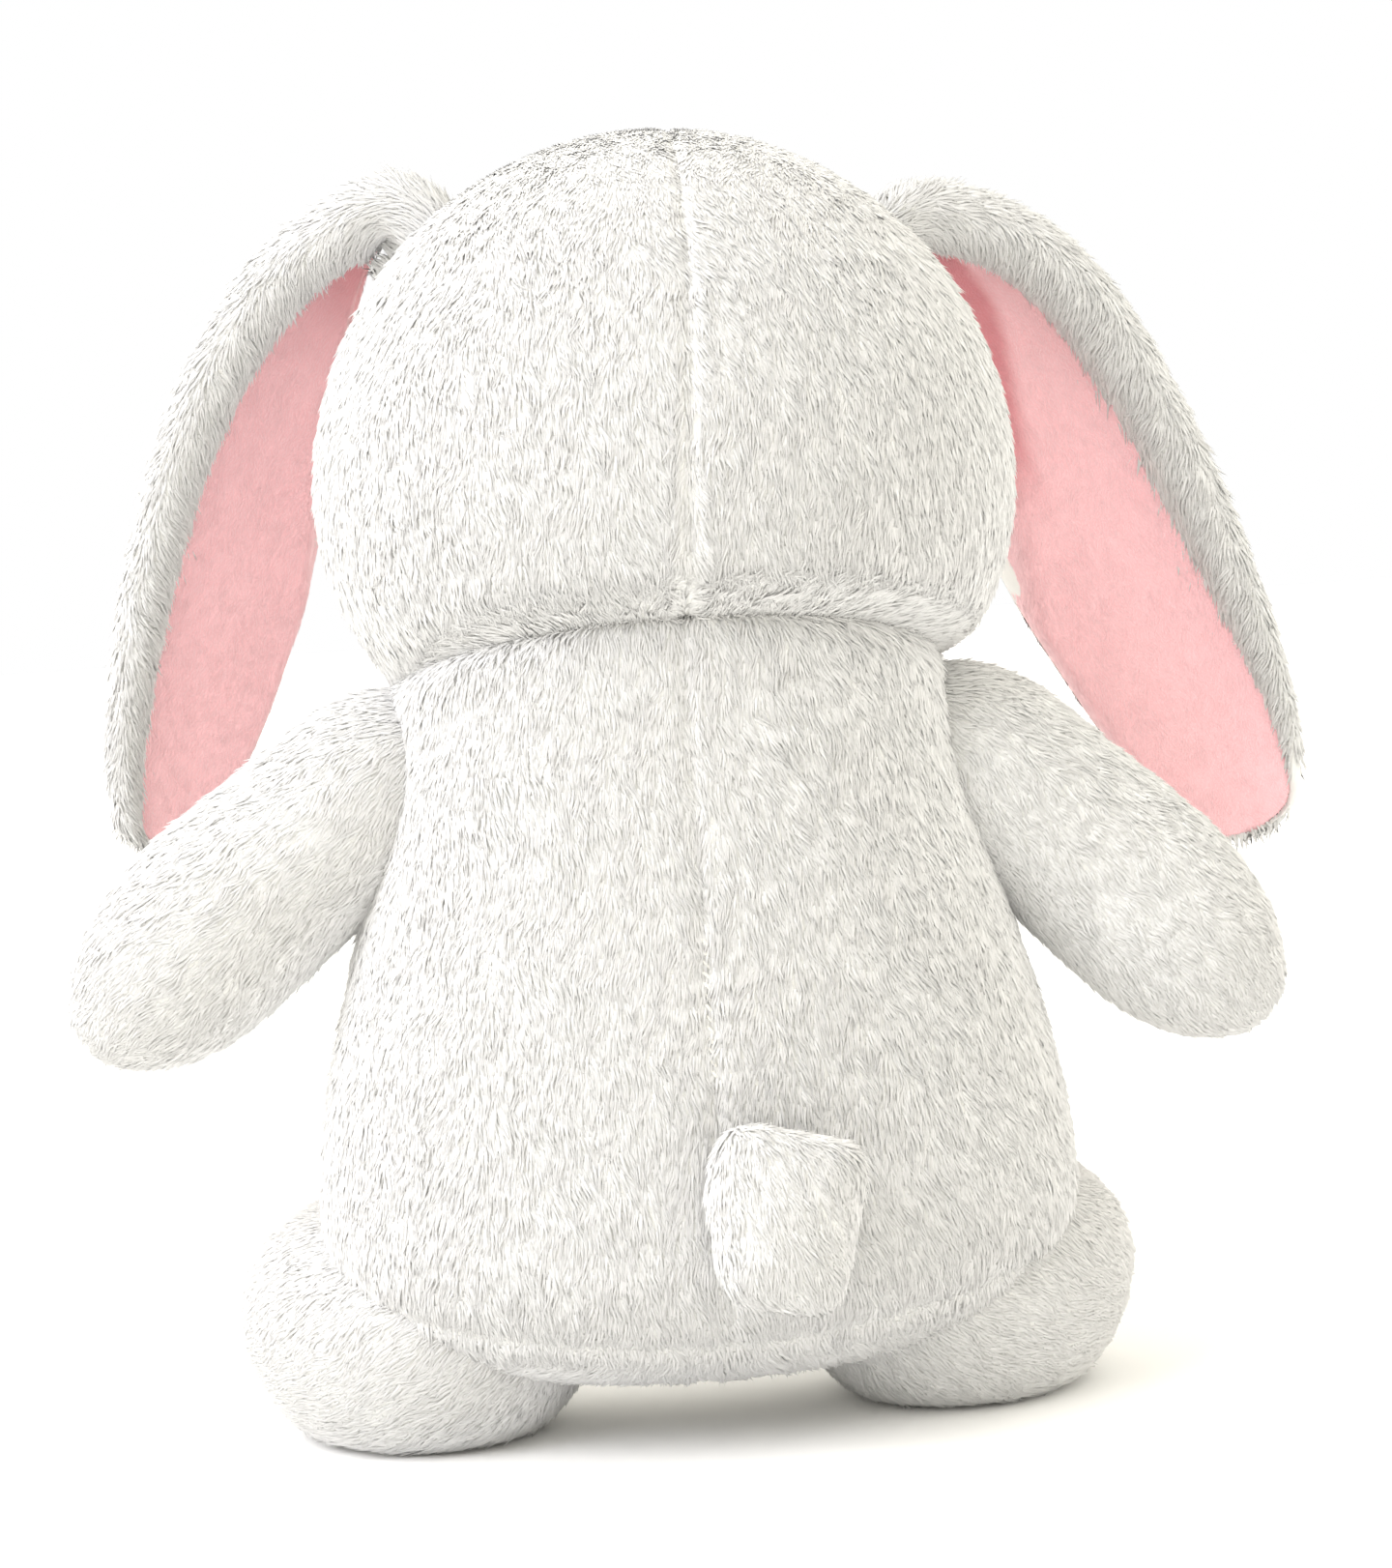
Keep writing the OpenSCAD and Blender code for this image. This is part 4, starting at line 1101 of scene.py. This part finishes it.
for piece in limbs + piles + [(torso, torso_joint, None), (head, head_joint, None), (tail, None, "tail"),
                              (muzzle, None, "head"), (nose, None, "head"), (mouth, None, "head"),
                              (closing_stitches, None, "torso")]:
    settled(*piece)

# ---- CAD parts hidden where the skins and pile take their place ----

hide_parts("head_back_left", "head_back_right", "face_panel", "head_stuffing", "head_seam_thread")
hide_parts("back_left", "back_right", "belly", "base_panel", "torso_stuffing", "neck_wad", "back_seam_thread",
            "pellet_bag")
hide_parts("closing_stitches")
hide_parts("muzzle")
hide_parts("nose")
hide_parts("mouth_thread")
for side, word in ((1, "left"), (-1, "right")):
    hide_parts(f"arm_{word}_front", f"arm_{word}_back", f"arm_{word}_stuffing")
    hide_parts(f"foot_{word}_upper", f"foot_{word}_sole", f"foot_{word}_stuffing")
    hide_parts(f"ear_{word}_plush")
    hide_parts(f"ear_{word}_lining")
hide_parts("tail_plush", "tail_stuffing")

# ---- eyes ----

eye_material, t, shader = material("dark_eye", (0.012, 0.011, 0.013), 0.08, Coat_Weight=1.0, Coat_Roughness=0.03)
dark = colour_between(t, object_noise(t, 60.0), (0.010, 0.009, 0.011), (0.020, 0.014, 0.012))
t.feed(shader.inputs["Base Color"], dark)
washer_material, t, shader = material("moulded_washer", (0.85, 0.85, 0.82), 0.5)
bump(t, shader, object_noise(t, 700.0), 0.15, 0.0002)
for node, m in (("eye_left", eye_material), ("eye_right", eye_material),
                ("eye_washer_left", washer_material), ("eye_washer_right", washer_material)):
    dressed(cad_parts[node], m)

# ---- floor, light and camera ----

floor_mesh = bpy.data.meshes.new("floor")
ring = [(40 * math.cos(a), 40 * math.sin(a), 0) for a in turn(64)]
floor_mesh.from_pydata(ring, [], [tuple(range(64))])
floor = bpy.data.objects.new("floor", floor_mesh)
scene.collection.objects.link(floor)
floor_material, t, shader = material("pale_floor", (0.96, 0.96, 0.96), 0.9)
bump(t, shader, object_noise(t, 40.0), 0.05, 0.001)
dressed(floor, floor_material)

world = bpy.data.worlds.new("studio")
scene.world = world
world.use_nodes = True
t = Tree(world.node_tree)
seen = t.node("ShaderNodeLightPath").outputs["Is Camera Ray"]
sky = colour_between(t, seen, (1.35, 1.305, 1.17), (1.0, 1.0, 1.0))
t.feed(world.node_tree.nodes["Background"].inputs["Color"], sky)


def sun(name, way, strength, colour, spread):
    light = bpy.data.lights.new(name, "SUN")
    light.energy = strength
    light.color = colour
    light.angle = math.radians(spread)
    obj = bpy.data.objects.new(name, light)
    obj.rotation_euler = (-Vector(way)).to_track_quat("-Z", "Y").to_euler()
    scene.collection.objects.link(obj)


sun("key", (0.85, 0.55, 0.75), 1.75, (0.90, 0.91, 1.0), 40)

camera_data = bpy.data.cameras.new("camera")
camera_data.sensor_width = 36
FRAME_TALL = 1622 * 0.218               # height of the view at the toy
DISTANCE = 900.0
VIEW_MIDDLE = np.array([0, 0, 150.0])   # the height that the camera looks at, before it is shifted aside and down
camera_data.lens = 36 * DISTANCE / FRAME_TALL
camera_data.clip_start = 0.05
azimuth, elevation, roll = np.radians([175.0, 2.5, 4.0])
level = math.cos(elevation)
toward = np.array([math.sin(azimuth) * level, -math.cos(azimuth) * level, math.sin(elevation)])
right = np.array([math.cos(azimuth), math.sin(azimuth), 0])
up = np.cross(toward, right)
right, up = right * math.cos(roll) - up * math.sin(roll), up * math.cos(roll) + right * math.sin(roll)
aim = TO_MIDDLE + VIEW_MIDDLE + right * 26 * 0.218 - up * 20 * 0.218
eye = (aim + toward * DISTANCE) * MM
camera = bpy.data.objects.new("camera", camera_data)
camera.matrix_world = Matrix(((right[0], up[0], toward[0], eye[0]), (right[1], up[1], toward[1], eye[1]),
                              (right[2], up[2], toward[2], eye[2]), (0, 0, 0, 1)))
scene.collection.objects.link(camera)
scene.camera = camera
scene.view_settings.view_transform = "Standard"
